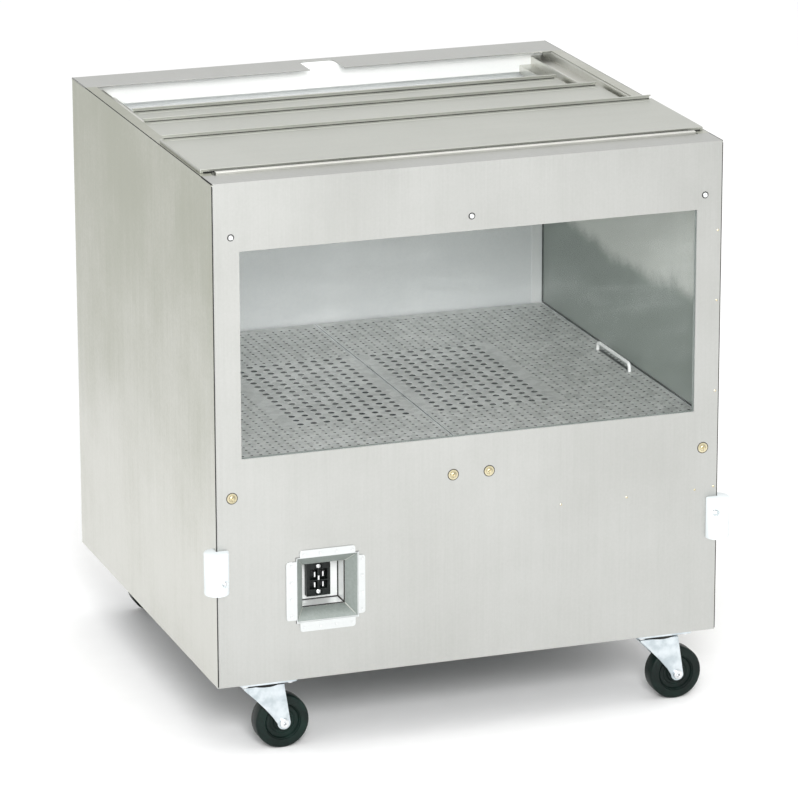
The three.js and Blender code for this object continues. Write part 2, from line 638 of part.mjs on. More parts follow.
function inletBox() {
  const y = [FUNNEL_DEPTH + GAP, FUNNEL_DEPTH + GAP + INLET_BOX_DEPTH];
  const throat = centred(THROAT / 2);
  const outer = grown(throat, BEZEL_SHEET);
  const port = centred(SOCKET_WIDTH / 2 + GAP, SOCKET_HEIGHT / 2 + GAP);
  return carve(
    [block(outer.x, y, outer.z)],
    [block(throat.x, [y[0] - 1, y[1] - BEZEL_SHEET], throat.z), block(port.x, [y[0], y[1] + 1], port.z)],
  );
}

// An insulating block with a recess at the front and three flat pins standing in it.
function powerInlet() {
  const back = FUNNEL_DEPTH + GAP + INLET_BOX_DEPTH;
  const front = back - SOCKET_REACH;
  const body = centred(SOCKET_WIDTH / 2, SOCKET_HEIGHT / 2);
  const recess = grown(body, -SOCKET_WALL);
  const shell = carve(
    [block(body.x, [front, front + SOCKET_DEPTH], body.z)],
    [block(recess.x, [front - 1, front + SOCKET_RECESS], recess.z)],
  );
  const pinY = [front + SOCKET_RECESS - SOCKET_PIN.length, front + SOCKET_RECESS + 1];
  const pin = (x, z) => block(
    [inletMiddle.x + x - SOCKET_PIN.width / 2, inletMiddle.x + x + SOCKET_PIN.width / 2],
    pinY,
    [inletMiddle.z + z - SOCKET_PIN.height / 2, inletMiddle.z + z + SOCKET_PIN.height / 2],
  );
  const { spread } = SOCKET_PIN;
  return carve([shell, pin(-spread, -spread), pin(spread, -spread), pin(0, spread)]);
}

function placeInlet() {
  place('inlet_bezel', inletBezel(), 'stainless');
  place('inlet_box', inletBox(), 'stainless');
  place('power_inlet', powerInlet(), 'socket');
}

// ---------------------------------------------------------------- corner bumpers
function bumper({ side, x, z }) {
  const corner = side === 'left' ? 0 : BODY_WIDTH;
  const reach = BUMPER_RADIUS + 1;
  const cutX = side === 'left' ? [-GAP, reach] : [corner - reach, corner + GAP];
  const height = [BUMPER_BOTTOM, BUMPER_BOTTOM + BUMPER_HEIGHT];
  const roll = new THREE.CylinderGeometry(BUMPER_RADIUS, BUMPER_RADIUS, BUMPER_HEIGHT, 24);
  roll.rotateX(Math.PI / 2).translate(corner, 0, (height[0] + height[1]) / 2);
  const bore = circle([x, z], SMALL_SCREW.head + SCREW_HOLE_CLEARANCE, 12);
  return carve([roll], [
    block(cutX, [-GAP, reach], [height[0] - 1, height[1] + 1]),
    extrude(bore, 'y', -reach, -BUMPER_RADIUS + COUNTERBORE_DEPTH),
    screwHole(SMALL_SCREW, x, z, [-reach, 1]),
  ]);
}

// ---------------------------------------------------------------- swivel casters
const axleDrop = CASTER_HEIGHT - WHEEL_RADIUS;
const raceBottom = -GAP - CASTER_PLATE.thickness - RACE.height;
const forkTop = raceBottom - GAP;
const forkInner = WHEEL_WIDTH / 2 + WHEEL_SIDE_CLEARANCE;
const forkOuter = forkInner + FORK_SHEET;

function casterPlate() {
  const { width, depth, thickness, corner } = CASTER_PLATE;
  const shape = roundedRectangle([-width / 2, width / 2], [-depth / 2, depth / 2], corner);
  const race = extrude(circle([0, 0], RACE.radius, 24), 'z', raceBottom, -GAP - thickness / 2);
  return carve([extrude(shape, 'z', -GAP - thickness, -GAP, 2), race]);
}

// Outline of one leg: as long as the crown at the top, with a raked, hollowed front edge and a
// steep back edge that run down to a round end at the axle.
function forkLeg() {
  const shape = new THREE.Shape();
  shape.moveTo(-CROWN.front, forkTop);
  shape.lineTo(-CROWN.front, forkTop - FORK_SHEET);
  const [hollowX, hollowZ] = [CASTER_TRAIL - FORK_HOLLOW.in, FORK_HOLLOW.up - axleDrop];
  shape.quadraticCurveTo(hollowX, hollowZ, CASTER_TRAIL - FORK_TIP_RADIUS, -axleDrop);
  shape.absarc(CASTER_TRAIL, -axleDrop, FORK_TIP_RADIUS, Math.PI, 2 * Math.PI);
  shape.lineTo(CROWN.back, forkTop - FORK_SHEET);
  shape.lineTo(CROWN.back, forkTop);
  return shape;
}

function casterFork() {
  const legRuns = [[-forkOuter, -forkInner], [forkInner, forkOuter]];
  const legs = legRuns.map((y) => extrude(forkLeg(), 'y', ...y));
  const crown = block([-CROWN.front, CROWN.back], [-forkOuter, forkOuter], [forkTop - FORK_SHEET, forkTop]);
  const bore = circle([CASTER_TRAIL, -axleDrop], AXLE_RADIUS + AXLE_CLEARANCE, 12);
  return carve([crown, ...legs], [extrude(bore, 'y', -forkOuter - 1, forkOuter + 1)]);
}

function wheelGeometry() {
  const half = WHEEL_WIDTH / 2;
  const bore = AXLE_RADIUS + AXLE_CLEARANCE;
  const hub = HUB_SHARE * WHEEL_RADIUS;
  const web = WEB_SHARE * WHEEL_RADIUS;
  const side = [
    [bore, half],
    [hub, half],
    [hub + 1, half - WEB_RECESS],
    [web, half - WEB_RECESS],
    [web + 1, half - RIM_RECESS],
    [WHEEL_RADIUS - TREAD_BEVEL.in, half - RIM_RECESS],
    [WHEEL_RADIUS, half - TREAD_BEVEL.down],
  ];
  const lower = side.map(([r, h]) => [r, -h]);
  const profile = [...lower, ...side.reverse(), lower[0]];
  return turned(profile, 32);
}

function axleGeometry() {
  const end = forkOuter + GAP;
  const tip = end + AXLE_HEAD.height;
  const profile = [[0, -tip], [AXLE_HEAD.radius, -tip], [AXLE_HEAD.radius, -end], [AXLE_RADIUS, -end],
    [AXLE_RADIUS, end], [AXLE_HEAD.radius, end], [AXLE_HEAD.radius, tip], [0, tip]];
  return turned(profile, 12);
}

function placeCasters() {
  const sides = { left: CASTER_SIDE_INSET, right: BODY_WIDTH - CASTER_SIDE_INSET };
  const ends = { front: CASTER_END_INSET, rear: BODY_DEPTH - CASTER_END_INSET };
  for (const [end, y] of Object.entries(ends)) {
    for (const [side, x] of Object.entries(sides)) {
      const caster = new THREE.Group();
      caster.position.set(x, y, 0);
      cabinet.add(caster);
      place(`caster_plate_${end}_${side}`, casterPlate(), 'zinc', caster);
      place(`caster_fork_${end}_${side}`, casterFork(), 'zinc', caster);
      const wheel = place(`caster_wheel_${end}_${side}`, wheelGeometry(), 'rubber', caster);
      wheel.position.set(CASTER_TRAIL, 0, -axleDrop);
      const axle = place(`caster_axle_${end}_${side}`, axleGeometry(), 'zinc', caster);
      axle.position.copy(wheel.position);
    }
  }
}

placeShell();
placeTop();
placeWindow();
placeFloor();
placeHeating();
placeInlet();
for (const screw of bumperScrews) place(`bumper_${screw.side}`, bumper(screw), 'nylon');
placeScrews();
placeCasters();

const group = new THREE.Group();
group.add(cabinet);
export default group;
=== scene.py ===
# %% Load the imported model
import json
import math
import bmesh
import bpy
from mathutils import Matrix, Vector


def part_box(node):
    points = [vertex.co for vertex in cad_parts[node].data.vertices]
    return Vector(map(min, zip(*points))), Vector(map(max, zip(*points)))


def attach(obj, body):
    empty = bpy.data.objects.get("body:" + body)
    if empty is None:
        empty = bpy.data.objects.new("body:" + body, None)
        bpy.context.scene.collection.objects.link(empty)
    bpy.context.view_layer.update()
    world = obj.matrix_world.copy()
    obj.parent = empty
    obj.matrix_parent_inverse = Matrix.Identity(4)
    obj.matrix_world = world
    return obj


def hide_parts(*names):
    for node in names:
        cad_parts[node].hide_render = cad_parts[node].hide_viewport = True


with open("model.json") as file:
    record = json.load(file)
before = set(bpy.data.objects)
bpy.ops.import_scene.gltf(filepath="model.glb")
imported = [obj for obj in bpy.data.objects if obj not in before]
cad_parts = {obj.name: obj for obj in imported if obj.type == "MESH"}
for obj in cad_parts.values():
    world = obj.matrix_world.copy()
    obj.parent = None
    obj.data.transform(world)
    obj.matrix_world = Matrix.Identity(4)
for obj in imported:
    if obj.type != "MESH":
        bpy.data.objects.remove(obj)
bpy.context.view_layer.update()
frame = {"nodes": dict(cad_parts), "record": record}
MM = 0.001
scene = bpy.context.scene
bodies_of = frame["record"]["behaviour"]["bodies"]
body_of_node = {node: body for body, nodes in bodies_of.items() for node in nodes}

# %% [markdown]
# Every place in this lesson is given the way a sheet-metal worker would measure the cabinet:
# in millimetres from its left side, from its front face and from its underside. One small
# function turns such a place into metres in the model's own frame, and it reads the three
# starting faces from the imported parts, so that a drawn detail stays on its sheet.

# %% Measure from the cabinet's own faces
front_low, front_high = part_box("front_panel")
LEFT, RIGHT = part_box("side_panel_left")[0].x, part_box("side_panel_right")[1].x
FRONT, BACK = front_low.y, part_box("back_panel")[1].y
UNDERSIDE, TOP = front_low.z, front_high.z
WIDTH, DEPTH, HEIGHT = (RIGHT - LEFT) / MM, (BACK - FRONT) / MM, (TOP - UNDERSIDE) / MM
METAL = 1.2 * MM


def place(x, y, z):
    return Vector((LEFT + x * MM, FRONT + y * MM, UNDERSIDE + z * MM))


print(f"cabinet: {WIDTH:.0f} x {DEPTH:.0f} x {HEIGHT:.0f} mm")

# %% [markdown]
# The camera stands far off with a long lens, so the cabinet's edges stay nearly parallel. It is
# turned about 19 degrees to the left of the front and looks down about 17 degrees.

# %% Camera
CAMERA_PLACE = Vector((-2.1561, -6.1510, 2.3303))
LOOK = Vector((0.3185, 0.9037, -0.2861)).normalized()
ROLL = math.radians(-0.115)
LENS, SENSOR = 216.6, 36

camera = bpy.data.objects.new("camera", bpy.data.cameras.new("camera"))
camera.data.lens = LENS
camera.data.sensor_width = SENSOR
camera.data.clip_end = 100
turn = LOOK.to_track_quat("-Z", "Y").to_matrix().to_4x4() @ Matrix.Rotation(ROLL, 4, "Z")
camera.matrix_world = Matrix.Translation(CAMERA_PLACE) @ turn
scene.collection.objects.link(camera)
scene.camera = camera
middle = place(WIDTH / 2, DEPTH / 2, HEIGHT / 2)
print("camera is", round((CAMERA_PLACE - middle).length, 2), "m from the cabinet's middle")

# %% [markdown]
# Bare metal shows what stands around it more than its own colour, so the room is the most
# important part of this picture: a pale, even surround, a large soft light above, a weak one at
# the left front, and a smaller, strong one high in front, which shines through the window onto
# the false floor and the walls behind it.

# %% Room and lights
world = bpy.data.worlds.new("studio")
scene.world = world
world.use_nodes = True
surround = world.node_tree.nodes["Background"].inputs
surround["Color"].default_value = (1.0, 1.0, 0.995, 1)
surround["Strength"].default_value = 1.0
scene.view_settings.view_transform = "Standard"


def soft_light(name, position, aim, size, power):
    data = bpy.data.lights.new(name, "AREA")
    data.shape = "DISK"
    data.size = size
    data.energy = power
    light = bpy.data.objects.new(name, data)
    facing = (Vector(aim) - Vector(position)).to_track_quat("-Z", "Y").to_matrix().to_4x4()
    light.matrix_world = Matrix.Translation(position) @ facing
    scene.collection.objects.link(light)


soft_light("light_above", position=(0.4, -0.3, 4.2), aim=(0, 0, 0.6), size=3.2, power=22)
soft_light("light_left", position=(-3.4, -2.8, 2.6), aim=(0, 0, 0.45), size=2.4, power=8)
soft_light("light_window", position=(-1.2, -4.4, 2.6), aim=(0.05, 0.1, 0.45), size=1.6, power=170)

# %% [markdown]
# Shader maths reads best as ordinary arithmetic. `Value` wraps one socket and adds a Math node
# whenever Python's own operators meet it. `Tree` adds every other node: its settings first, then
# a value or a link for each socket. Both serve materials and Geometry Nodes alike.

# %% Node arithmetic
class Value:
    """One output socket that Python's operators can work on."""

    def __init__(self, tree, socket):
        self.tree = tree
        self.socket = socket

    def math(self, operation, first, second):
        return self.tree.node("ShaderNodeMath", {0: first, 1: second}, operation=operation)

    def __add__(self, other):
        return self.math("ADD", self, other)

    def __sub__(self, other):
        return self.math("SUBTRACT", self, other)

    def __rsub__(self, other):
        return self.math("SUBTRACT", other, self)

    def __mul__(self, other):
        return self.math("MULTIPLY", self, other)

    def __gt__(self, other):
        return self.math("GREATER_THAN", self, other)

    def __lt__(self, other):
        return self.math("LESS_THAN", self, other)

    __radd__ = __add__
    __rmul__ = __mul__


class Tree:
    """Adds nodes to a material's or a Geometry Nodes group's tree."""

    def __init__(self, owner):
        self.owner = owner

    def feed(self, socket, value):
        if isinstance(value, Value):
            self.owner.links.new(value.socket, socket)
        else:
            socket.default_value = value

    def node(self, kind, sockets, out=0, **settings):
        made = self.owner.nodes.new(kind)
        for name, value in settings.items():
            setattr(made, name, value)
        for name, value in sockets.items():
            for part in value if isinstance(value, list) else [value]:
                self.feed(made.inputs[name], part)
        return Value(self, made.outputs[out])

    def parts(self, vector):
        made = self.owner.nodes.new("ShaderNodeSeparateXYZ")
        self.feed(made.inputs[0], vector)
        return [Value(self, output) for output in made.outputs]

    def vector(self, x, y, z):
        return self.node("ShaderNodeCombineXYZ", {0: x, 1: y, 2: z})

    def noise(self, vector, scale, detail=3.0, roughness=0.55):
        sockets = {"Vector": vector, "Scale": scale, "Detail": detail, "Roughness": roughness}
        return self.node("ShaderNodeTexNoise", sockets)

    def mix(self, factor, first, second):
        return self.node("ShaderNodeMix", {0: factor, 6: first, 7: second}, out=2, data_type="RGBA")

    def ease(self, value, low, high):
        sockets = {"Value": value, "From Min": low, "From Max": high}
        return self.node("ShaderNodeMapRange", sockets, interpolation_type="SMOOTHSTEP")

    def bump(self, height, depth):
        return self.node("ShaderNodeBump", {"Height": height, "Distance": depth, "Strength": 1.0})


print("shader helpers ready")

# %% [markdown]
# A finish starts from the Principled shader. What is the same all over the surface, such as how
# metallic it is, is set on the shader's own sockets. Only colour, roughness, opacity and the
# normal are fed by nodes, and every pattern reads the Object coordinates, which are metres in the
# cabinet's frame, so that grain on one sheet lines up with the next.

# %% Start a finish
def rgb(red, green, blue):
    return (red, green, blue, 1)


def new_finish(name, **constants):
    material = bpy.data.materials.new(name)
    material.use_nodes = True
    shader = material.node_tree.nodes["Principled BSDF"]
    for socket, value in constants.items():
        shader.inputs[socket.replace("_", " ")].default_value = value
    tree = Tree(material.node_tree)
    position = tree.node("ShaderNodeTexCoord", {}, out="Object")
    return material, tree, shader, position


def dress(tree, shader, **fed):
    for socket, value in fed.items():
        tree.feed(shader.inputs[socket.replace("_", " ")], value)


print("finish helper ready")

# %% [markdown]
# Brushed stainless sheet has been rubbed with an abrasive belt, so thousands of fine scratches
# run one way. A noise squeezed hard across the rub and stretched along it gives them. The two
# other axes are added together, so the scratches carry on round a bend. Hands, wiping and the
# mill's rolling leave broad, faint clouds and a slight waviness, which a slow noise adds to
# colour, roughness and normal. The inner face of the same sheet has a duller mill finish: how
# far a point lies behind the outer face tells the two apart, below the folded top flange, whose
# upper side is brushed again. One setting paints shade that darkens a sheet towards its top, and
# another darkens the lower part of a chamber wall as a painted reflection of the false floor.

# %% Brushed stainless
X, Y, Z = 0, 1, 2
TOP_FOLD = 2.5 * MM
BACK_FOLD = 4 * MM
SHADE_ENDS = (UNDERSIDE + 0.44, UNDERSIDE + 0.50)


def brushed(name, across, light, dark, inner=None, inner_light=None, inner_dark=None,
            rough=0.3, painted_top_shade=0.0, metal=1.0, painted_foot_reflection=0.0):
    material, tree, shader, position = new_finish(name, Metallic=metal)
    point = tree.parts(position)
    others = list(point)
    rub = others.pop(across)
    along = others[0] + others[1]
    scratches = tree.noise(tree.vector(rub * 420, along * 7, 0), 1.0, 4.0, 0.65)
    streaks = tree.noise(tree.vector(rub * 60, along * 1.6, 0), 1.0, 2.0)
    clouds = tree.noise(position, 4.5, 4.0, 0.6)
    specks = tree.noise(position, 260, 2.0, 0.6)
    shade = scratches * 0.24 + streaks * 0.1 + clouds * 0.5 + specks * 0.16
    height = tree.ease(point[Z], UNDERSIDE, TOP)
    # Subtracting the height paints shade that darkens the sheet towards its top.
    lit = tree.ease(shade - painted_top_shade * height, 0.24 - painted_top_shade / 2, 0.76 - painted_top_shade / 2)
    colour = tree.mix(lit, dark, light)
    roughness = rough + clouds * 0.12 + scratches * 0.1
    if inner:
        axis, face, depth = inner
        behind = (point[axis] - face) * (1 if depth > 0 else -1) > abs(depth)
        behind = behind * (point[Z] < TOP - TOP_FOLD)
        # Below about 440 to 500 mm the inner wall is darkened as a painted reflection of the false
        # floor.
        above = tree.ease(point[Z] + clouds * 0.05, *SHADE_ENDS)
        mottle = clouds * 0.7 + specks * 0.3 + (above - 0.6) * painted_foot_reflection
        mill = tree.mix(tree.ease(mottle, 0.25, 0.75), inner_dark, inner_light)
        if painted_foot_reflection:
            mill = tree.mix(point[Y] > BACK - BACK_FOLD, mill, blue_grey)
        colour = tree.mix(behind, colour, mill)
        roughness = roughness + behind * 0.16
        dress(tree, shader, Metallic=metal - behind * 0.8)
    wave = tree.noise(position, 3.2, 1.0)
    rubbed = tree.bump(scratches, 0.00004)
    normal = tree.node("ShaderNodeBump", {
        "Height": wave, "Distance": 0.006, "Strength": 1.0, "Normal": rubbed})
    dress(tree, shader, Base_Color=colour, Roughness=roughness, Normal=normal)
    return material


print("brushed finish ready")

# %% Stainless finishes
HALF_SHEET = METAL / 2
silver, silver_dark = rgb(0.515, 0.52, 0.505), rgb(0.425, 0.43, 0.41)
# blue_grey and olive_grey are lit and shaded copies of the inner mill finish: the near-white
# blue-grey is painted light, on the back wall's inner face above all, and the dark olive is painted
# shade on the right wall's inner face.
blue_grey, blue_grey_dark = rgb(0.95, 0.97, 0.97), rgb(0.84, 0.87, 0.88)
olive_grey, olive_grey_dark = rgb(0.68, 0.71, 0.66), rgb(0.27, 0.31, 0.28)

front_steel = brushed("front_steel", X, silver, silver_dark,
                      (Y, FRONT, HALF_SHEET), blue_grey, blue_grey_dark)
# The sides' olive tint and darker tones are painted shade, for the sides turned away from the
# light.
side_light, side_dark = rgb(0.62, 0.62, 0.585), rgb(0.38, 0.39, 0.325)
left_steel = brushed("left_steel", Y, side_light, side_dark,
                     (X, LEFT, HALF_SHEET), blue_grey, blue_grey_dark, painted_top_shade=0.34)
# The right wall's inner face gets the painted reflection of the false floor at its foot.
right_steel = brushed("right_steel", Y, side_light, side_dark,
                      (X, RIGHT, -HALF_SHEET), olive_grey, olive_grey_dark, painted_foot_reflection=0.6)
back_steel = brushed("back_steel", X, silver, silver_dark,
                     (Y, BACK, -HALF_SHEET), blue_grey, blue_grey_dark)
lid_steel = brushed("lid_steel", Y, rgb(0.56, 0.57, 0.53), rgb(0.46, 0.47, 0.43), rough=0.26)
rail_steel = brushed("rail_steel", Y, rgb(0.72, 0.72, 0.68), rgb(0.56, 0.56, 0.52), rough=0.22)
# This near-white, barely metallic colour paints the highlight on the rear rail and the floor
# handles.
painted_highlight_rail = brushed("painted_highlight_rail", Y, rgb(0.97, 0.98, 0.97), rgb(0.88, 0.90, 0.89),
                      rough=0.45, metal=0.15)
# Behind the front face the funnel flaps take dark colours, painted shade in the inlet's recess.
bezel_steel = brushed("bezel_steel", Z, rgb(0.70, 0.72, 0.72), rgb(0.60, 0.62, 0.62),
                      (Y, FRONT, 0.8 * MM), rgb(0.30, 0.33, 0.315), rgb(0.19, 0.22, 0.20),
                      rough=0.2)
box_steel = brushed("box_steel", Z, rgb(0.92, 0.93, 0.92), rgb(0.78, 0.80, 0.79), metal=0.4)
print("stainless finishes:", sum(m.name.endswith(("_steel", "_rail")) for m in bpy.data.materials))

# %% [markdown]
# Hot-dip galvanised sheet freezes into flat crystals, the spangle, that each catch the light in
# their own way. A Voronoi pattern gives one random value for each crystal, which shifts its colour
# and its gloss. White rust begins as faint clouds, so a slow noise dulls some of it. Below a
# given height, such as inside the holes of the false floor, everything gets a near-black painted
# shade.

# %% Galvanised sheet
def galvanised(name, light, dark, crystal=70, rough=0.36, metal=1.0, painted_shade_below=None):
    material, tree, shader, position = new_finish(name, Metallic=metal)
    bent = tree.noise(position, 30, 2.0)
    cells = {"Vector": position, "Scale": crystal, "Randomness": 1.0}
    spangle = tree.node("ShaderNodeTexVoronoi", cells, out="Color")
    grey = tree.parts(spangle)[0]
    rust = tree.noise(position, 9, 4.0, 0.6)
    shade = grey * 0.45 + rust * 0.4 + bent * 0.15
    colour = tree.mix(tree.ease(shade, 0.2, 0.8), dark, light)
    if painted_shade_below:
        # Below this height the colour is a near-black painted shade.
        colour = tree.mix(tree.parts(position)[Z] > painted_shade_below, rgb(0.03, 0.032, 0.03), colour)
    dress(tree, shader,
          Base_Color=colour,
          Roughness=rough + grey * 0.12 + rust * 0.14,
          Normal=tree.bump(grey * 0.4 + bent, 0.00006))
    return material


# This dark copy of the galvanised finish is painted shade for the water pan and the parts under the
# false floor.
zinc_sheet = galvanised("zinc_sheet", rgb(0.17, 0.185, 0.185), rgb(0.09, 0.10, 0.10))
floor_sheet = galvanised("floor_sheet", rgb(0.68, 0.69, 0.68), rgb(0.50, 0.51, 0.50),
                         crystal=110, rough=0.42, metal=0.5,
                         painted_shade_below=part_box("floor_panel_left")[1].z - 0.15 * MM)
print("galvanised finishes ready")

# %% [markdown]
# Bright zinc plating on the casters is smooth and slightly blue, with a thin cloudy film and
# small handling marks. Yellow passivated screws get the same treatment in a warmer colour.

# %% Plated steel
def plated(name, light, dark, film, rough=0.24):
    material, tree, shader, position = new_finish(name, Metallic=1.0)
    cloud = tree.noise(position, 45, 3.0)
    marks = tree.noise(position, 900, 2.0, 0.7)
    shaded = tree.mix(tree.ease(cloud, 0.35, 0.65), dark, light)
    tinted = tree.mix(tree.ease(tree.noise(position, 120, 2.0), 0.5, 0.75) * 0.35, shaded, film)
    dress(tree, shader,
          Base_Color=tinted,
          Roughness=rough + cloud * 0.15 + marks * 0.08,
          Normal=tree.bump(marks + cloud, 0.00005))
    return material


caster_zinc = plated("caster_zinc", rgb(0.68, 0.73, 0.76), rgb(0.48, 0.54, 0.57),
                     film=rgb(0.60, 0.66, 0.70))
bright_zinc = plated("bright_zinc", rgb(0.84, 0.85, 0.85), rgb(0.70, 0.71, 0.72),
                     film=rgb(0.76, 0.78, 0.84), rough=0.18)
yellow_zinc = plated("yellow_zinc", rgb(0.66, 0.60, 0.42), rgb(0.50, 0.45, 0.30),
                     film=rgb(0.62, 0.52, 0.40), rough=0.2)
print("plated finishes ready")

# %% [markdown]
# The plastics, the glass and the studio floor are left. The bumpers are turned from white nylon
# and keep faint tool rings. The wheels are a hard, greenish black moulding, on which a broad and
# a fine noise together lay a patchy film of dust. The inlet is a black moulding with a little
# more gloss. The pane is nearly invisible, apart from wiping marks.

# %% Plastics and glass
def moulded(name, light, dark, rough, grain, depth, gloss=0.5):
    material, tree, shader, position = new_finish(name, Specular_IOR_Level=gloss)
    broad = tree.noise(position, 28, 3.0)
    fine = tree.noise(position, grain, 3.0, 0.65)
    dust = tree.ease(broad * 0.6 + fine * 0.4, 0.42, 0.68)
    dress(tree, shader,
          Base_Color=tree.mix(dust, dark, light),
          Roughness=rough + fine * 0.16 + dust * 0.1,
          Normal=tree.bump(fine + broad * 0.5, depth))
    return material


def turned_nylon():
    material, tree, shader, position = new_finish("nylon", Specular_IOR_Level=0.45)
    x, y, z = tree.parts(position)
    rings = tree.noise(tree.vector(x * 4, y * 4, z * 1500), 1.0, 2.0)
    cloud = tree.noise(position, 22, 3.0)
    grime = tree.ease(tree.noise(position, 60, 4.0, 0.7), 0.62, 0.8)
    clean = tree.mix(cloud, rgb(0.64, 0.69, 0.71), rgb(0.73, 0.77, 0.78))
    dress(tree, shader,
          Base_Color=tree.mix(grime * 0.4, clean, rgb(0.55, 0.58, 0.56)),
          Roughness=0.36 + rings * 0.14 + grime * 0.1,
          Normal=tree.bump(rings, 0.00005))
    return material


def clear_pane():
    material, tree, shader, position = new_finish("glass", IOR=1.45, Specular_IOR_Level=0.15)
    smears = tree.noise(position, 7, 5.0, 0.65)
    x, y, z = tree.parts(position)
    wiped = tree.noise(tree.vector(x * 6, y * 6, z * 40), 1.0, 3.0)
    film = tree.ease(smears * 0.6 + wiped * 0.4, 0.45, 0.75)
    dress(tree, shader,
          Base_Color=tree.mix(film, rgb(0.80, 0.90, 0.88), rgb(0.92, 0.95, 0.95)),
          Roughness=0.03 + film * 0.12,
          Alpha=0.015 + film * 0.03)
    return material


nylon = turned_nylon()
glass = clear_pane()
black_wheel = moulded("black_wheel", rgb(0.004, 0.017, 0.013), rgb(0.001, 0.005, 0.004),
                      rough=0.34, grain=420, depth=0.00006, gloss=0.24)
black_moulding = moulded("black_moulding", rgb(0.008, 0.012, 0.011), rgb(0.002, 0.004, 0.0035),
                         rough=0.3, grain=700, depth=0.00003, gloss=0.3)
thermostat_case = moulded("thermostat_case", rgb(0.05, 0.05, 0.05), rgb(0.02, 0.02, 0.02),
                          rough=0.4, grain=500, depth=0.00005)
# This near-black finish is painted shade: the dark lines in folds, gaps and corners, the rings
# round screw heads and the seam round each caster's ball race.
crease = moulded("painted_crease_shade", rgb(0.05, 0.05, 0.045), rgb(0.012, 0.012, 0.012),
                 rough=0.6, grain=300, depth=0.00003, gloss=0.2)
pale_floor = moulded("studio_floor", rgb(0.955, 0.955, 0.955), rgb(0.94, 0.94, 0.94),
                     rough=0.75, grain=40, depth=0.0001)
print("plastics and glass ready")

# %% [markdown]
# Sheet metal is cut flat and then folded on a press brake. Two kinds of edge come of that: a bend,
# rounded on its outside by about the metal's own thickness, and a cut edge, sharp but for
# a touch with a file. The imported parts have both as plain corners. Each visible sheet is copied,
# its flat faces are joined up, and every outer edge is sorted by one rule: where both faces beside
# it are wider than twice the metal it is a bend, else it is a cut edge. Bevels then round each by
# its own amount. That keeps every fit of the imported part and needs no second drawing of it.

# %% Rounded copies of sheet parts
SHEET_FACE = 2 * METAL
SHARP = math.radians(35)
FLAT = math.radians(0.5)


def face_width(face):
    """Nearly the width, for a face that is much longer than it is wide."""
    outline = sum(edge.calc_length() for edge in face.edges)
    return 2 * face.calc_area() / outline


def convex(edge):
    return len(edge.link_faces) == 2 and edge.calc_face_angle_signed() > SHARP


def shade_smooth(mesh):
    mesh.polygons.foreach_set("use_smooth", [True] * len(mesh.polygons))
    mesh.set_sharp_from_angle(angle=SHARP)


def finish_mesh(name, bm, material, smooth=False):
    bmesh.ops.recalc_face_normals(bm, faces=bm.faces)
    mesh = bpy.data.meshes.new(name)
    bm.to_mesh(mesh)
    bm.free()
    mesh.materials.append(material)
    if smooth:
        shade_smooth(mesh)
    piece = bpy.data.objects.new(name, mesh)
    scene.collection.objects.link(piece)
    return piece


def settle(piece, body, slot, *nodes):
    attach(piece, body)
    if nodes:
        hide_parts(*nodes)


def merged_copy(node):
    bm = bmesh.new()
    bm.from_mesh(frame["nodes"][node].data)
    bmesh.ops.remove_doubles(bm, verts=bm.verts, dist=0.02 * MM)
    bmesh.ops.dissolve_limit(bm, angle_limit=FLAT, verts=bm.verts, edges=bm.edges)
    return bm


def bevel(bm, edges, width, segments):
    bmesh.ops.bevel(bm, geom=edges, offset=width * MM, offset_type="OFFSET", segments=segments,
                    profile=0.5, affect="EDGES", clamp_overlap=True)


def ease_edges(bm, bend, cut):
    bends = [e for e in bm.edges if convex(e) and min(map(face_width, e.link_faces)) > SHEET_FACE]
    bevel(bm, bends, bend, 3)
    bevel(bm, [e for e in bm.edges if convex(e)], cut, 1)


def sheet_part(node, material, slot, bend=1.5, cut=0.2):
    bm = merged_copy(node)
    ease_edges(bm, bend, cut)
    settle(finish_mesh(node + "_sheet", bm, material), body_of_node[node], slot, node)


stainless = {
    "front_panel": front_steel, "side_panel_left": left_steel, "side_panel_right": right_steel,
    "back_panel": back_steel, "front_coaming": rail_steel, "rear_rail": painted_highlight_rail,
    "track_left": rail_steel, "track_right": rail_steel, "lid_front": lid_steel,
    "lid_middle": lid_steel, "lid_rear": lid_steel, "window_retainer": bezel_steel,
    "water_pan": zinc_sheet, "inlet_box": box_steel,
}
for node, material in stainless.items():
    sheet_part(node, material, "stainless")
unseen = ["bottom_pan", "base_channel_front", "base_channel_rear", "pan_stand", "floor_ledge_left",
          "floor_ledge_right", "floor_ledge_front", "floor_ledge_rear", "floor_beam"]
for node in unseen:
    sheet_part(node, zinc_sheet, "galvanised")
sheet_part("window_pane", glass, "glass", bend=0.6)
sheet_part("thermostat", thermostat_case, "socket", bend=3)
sheet_part("heater_strip", bright_zinc, "zinc", bend=2)
print("rounded copies:", len(stainless) + len(unseen) + 3)

# %% [markdown]
# Each sliding lid has a shallow bead pressed in just ahead of its standing lip, which stops the
# thin sheet from drumming, and the lip's own top is folded down on itself into a soft hem. Both
# are long, straight and rounded, so one helper makes them: a flattened rod, sunk in the sheet.

# %% Rods, hems and beads
def ring_of(centre, side, up, radii, sides):
    turns = [2 * math.pi * k / sides for k in range(sides)]
    return [centre + side * radii[0] * math.cos(t) + up * radii[1] * math.sin(t) for t in turns]


def add_rod(bm, start, end, wide, high, sides=10):
    along = (end - start).normalized()
    up = Vector((0, 0, 1)) if abs(along.z) < 0.9 else Vector((0, 1, 0))
    side = along.cross(up).normalized()
    up = side.cross(along)
    rings = []
    for centre in (start, end):
        rings.append([bm.verts.new(p) for p in ring_of(centre, side, up, (wide, high), sides)])
    for k in range(sides):
        nxt = (k + 1) % sides
        bm.faces.new((rings[0][k], rings[0][nxt], rings[1][nxt], rings[1][k]))
    bm.faces.new(rings[0])
    bm.faces.new(rings[1])


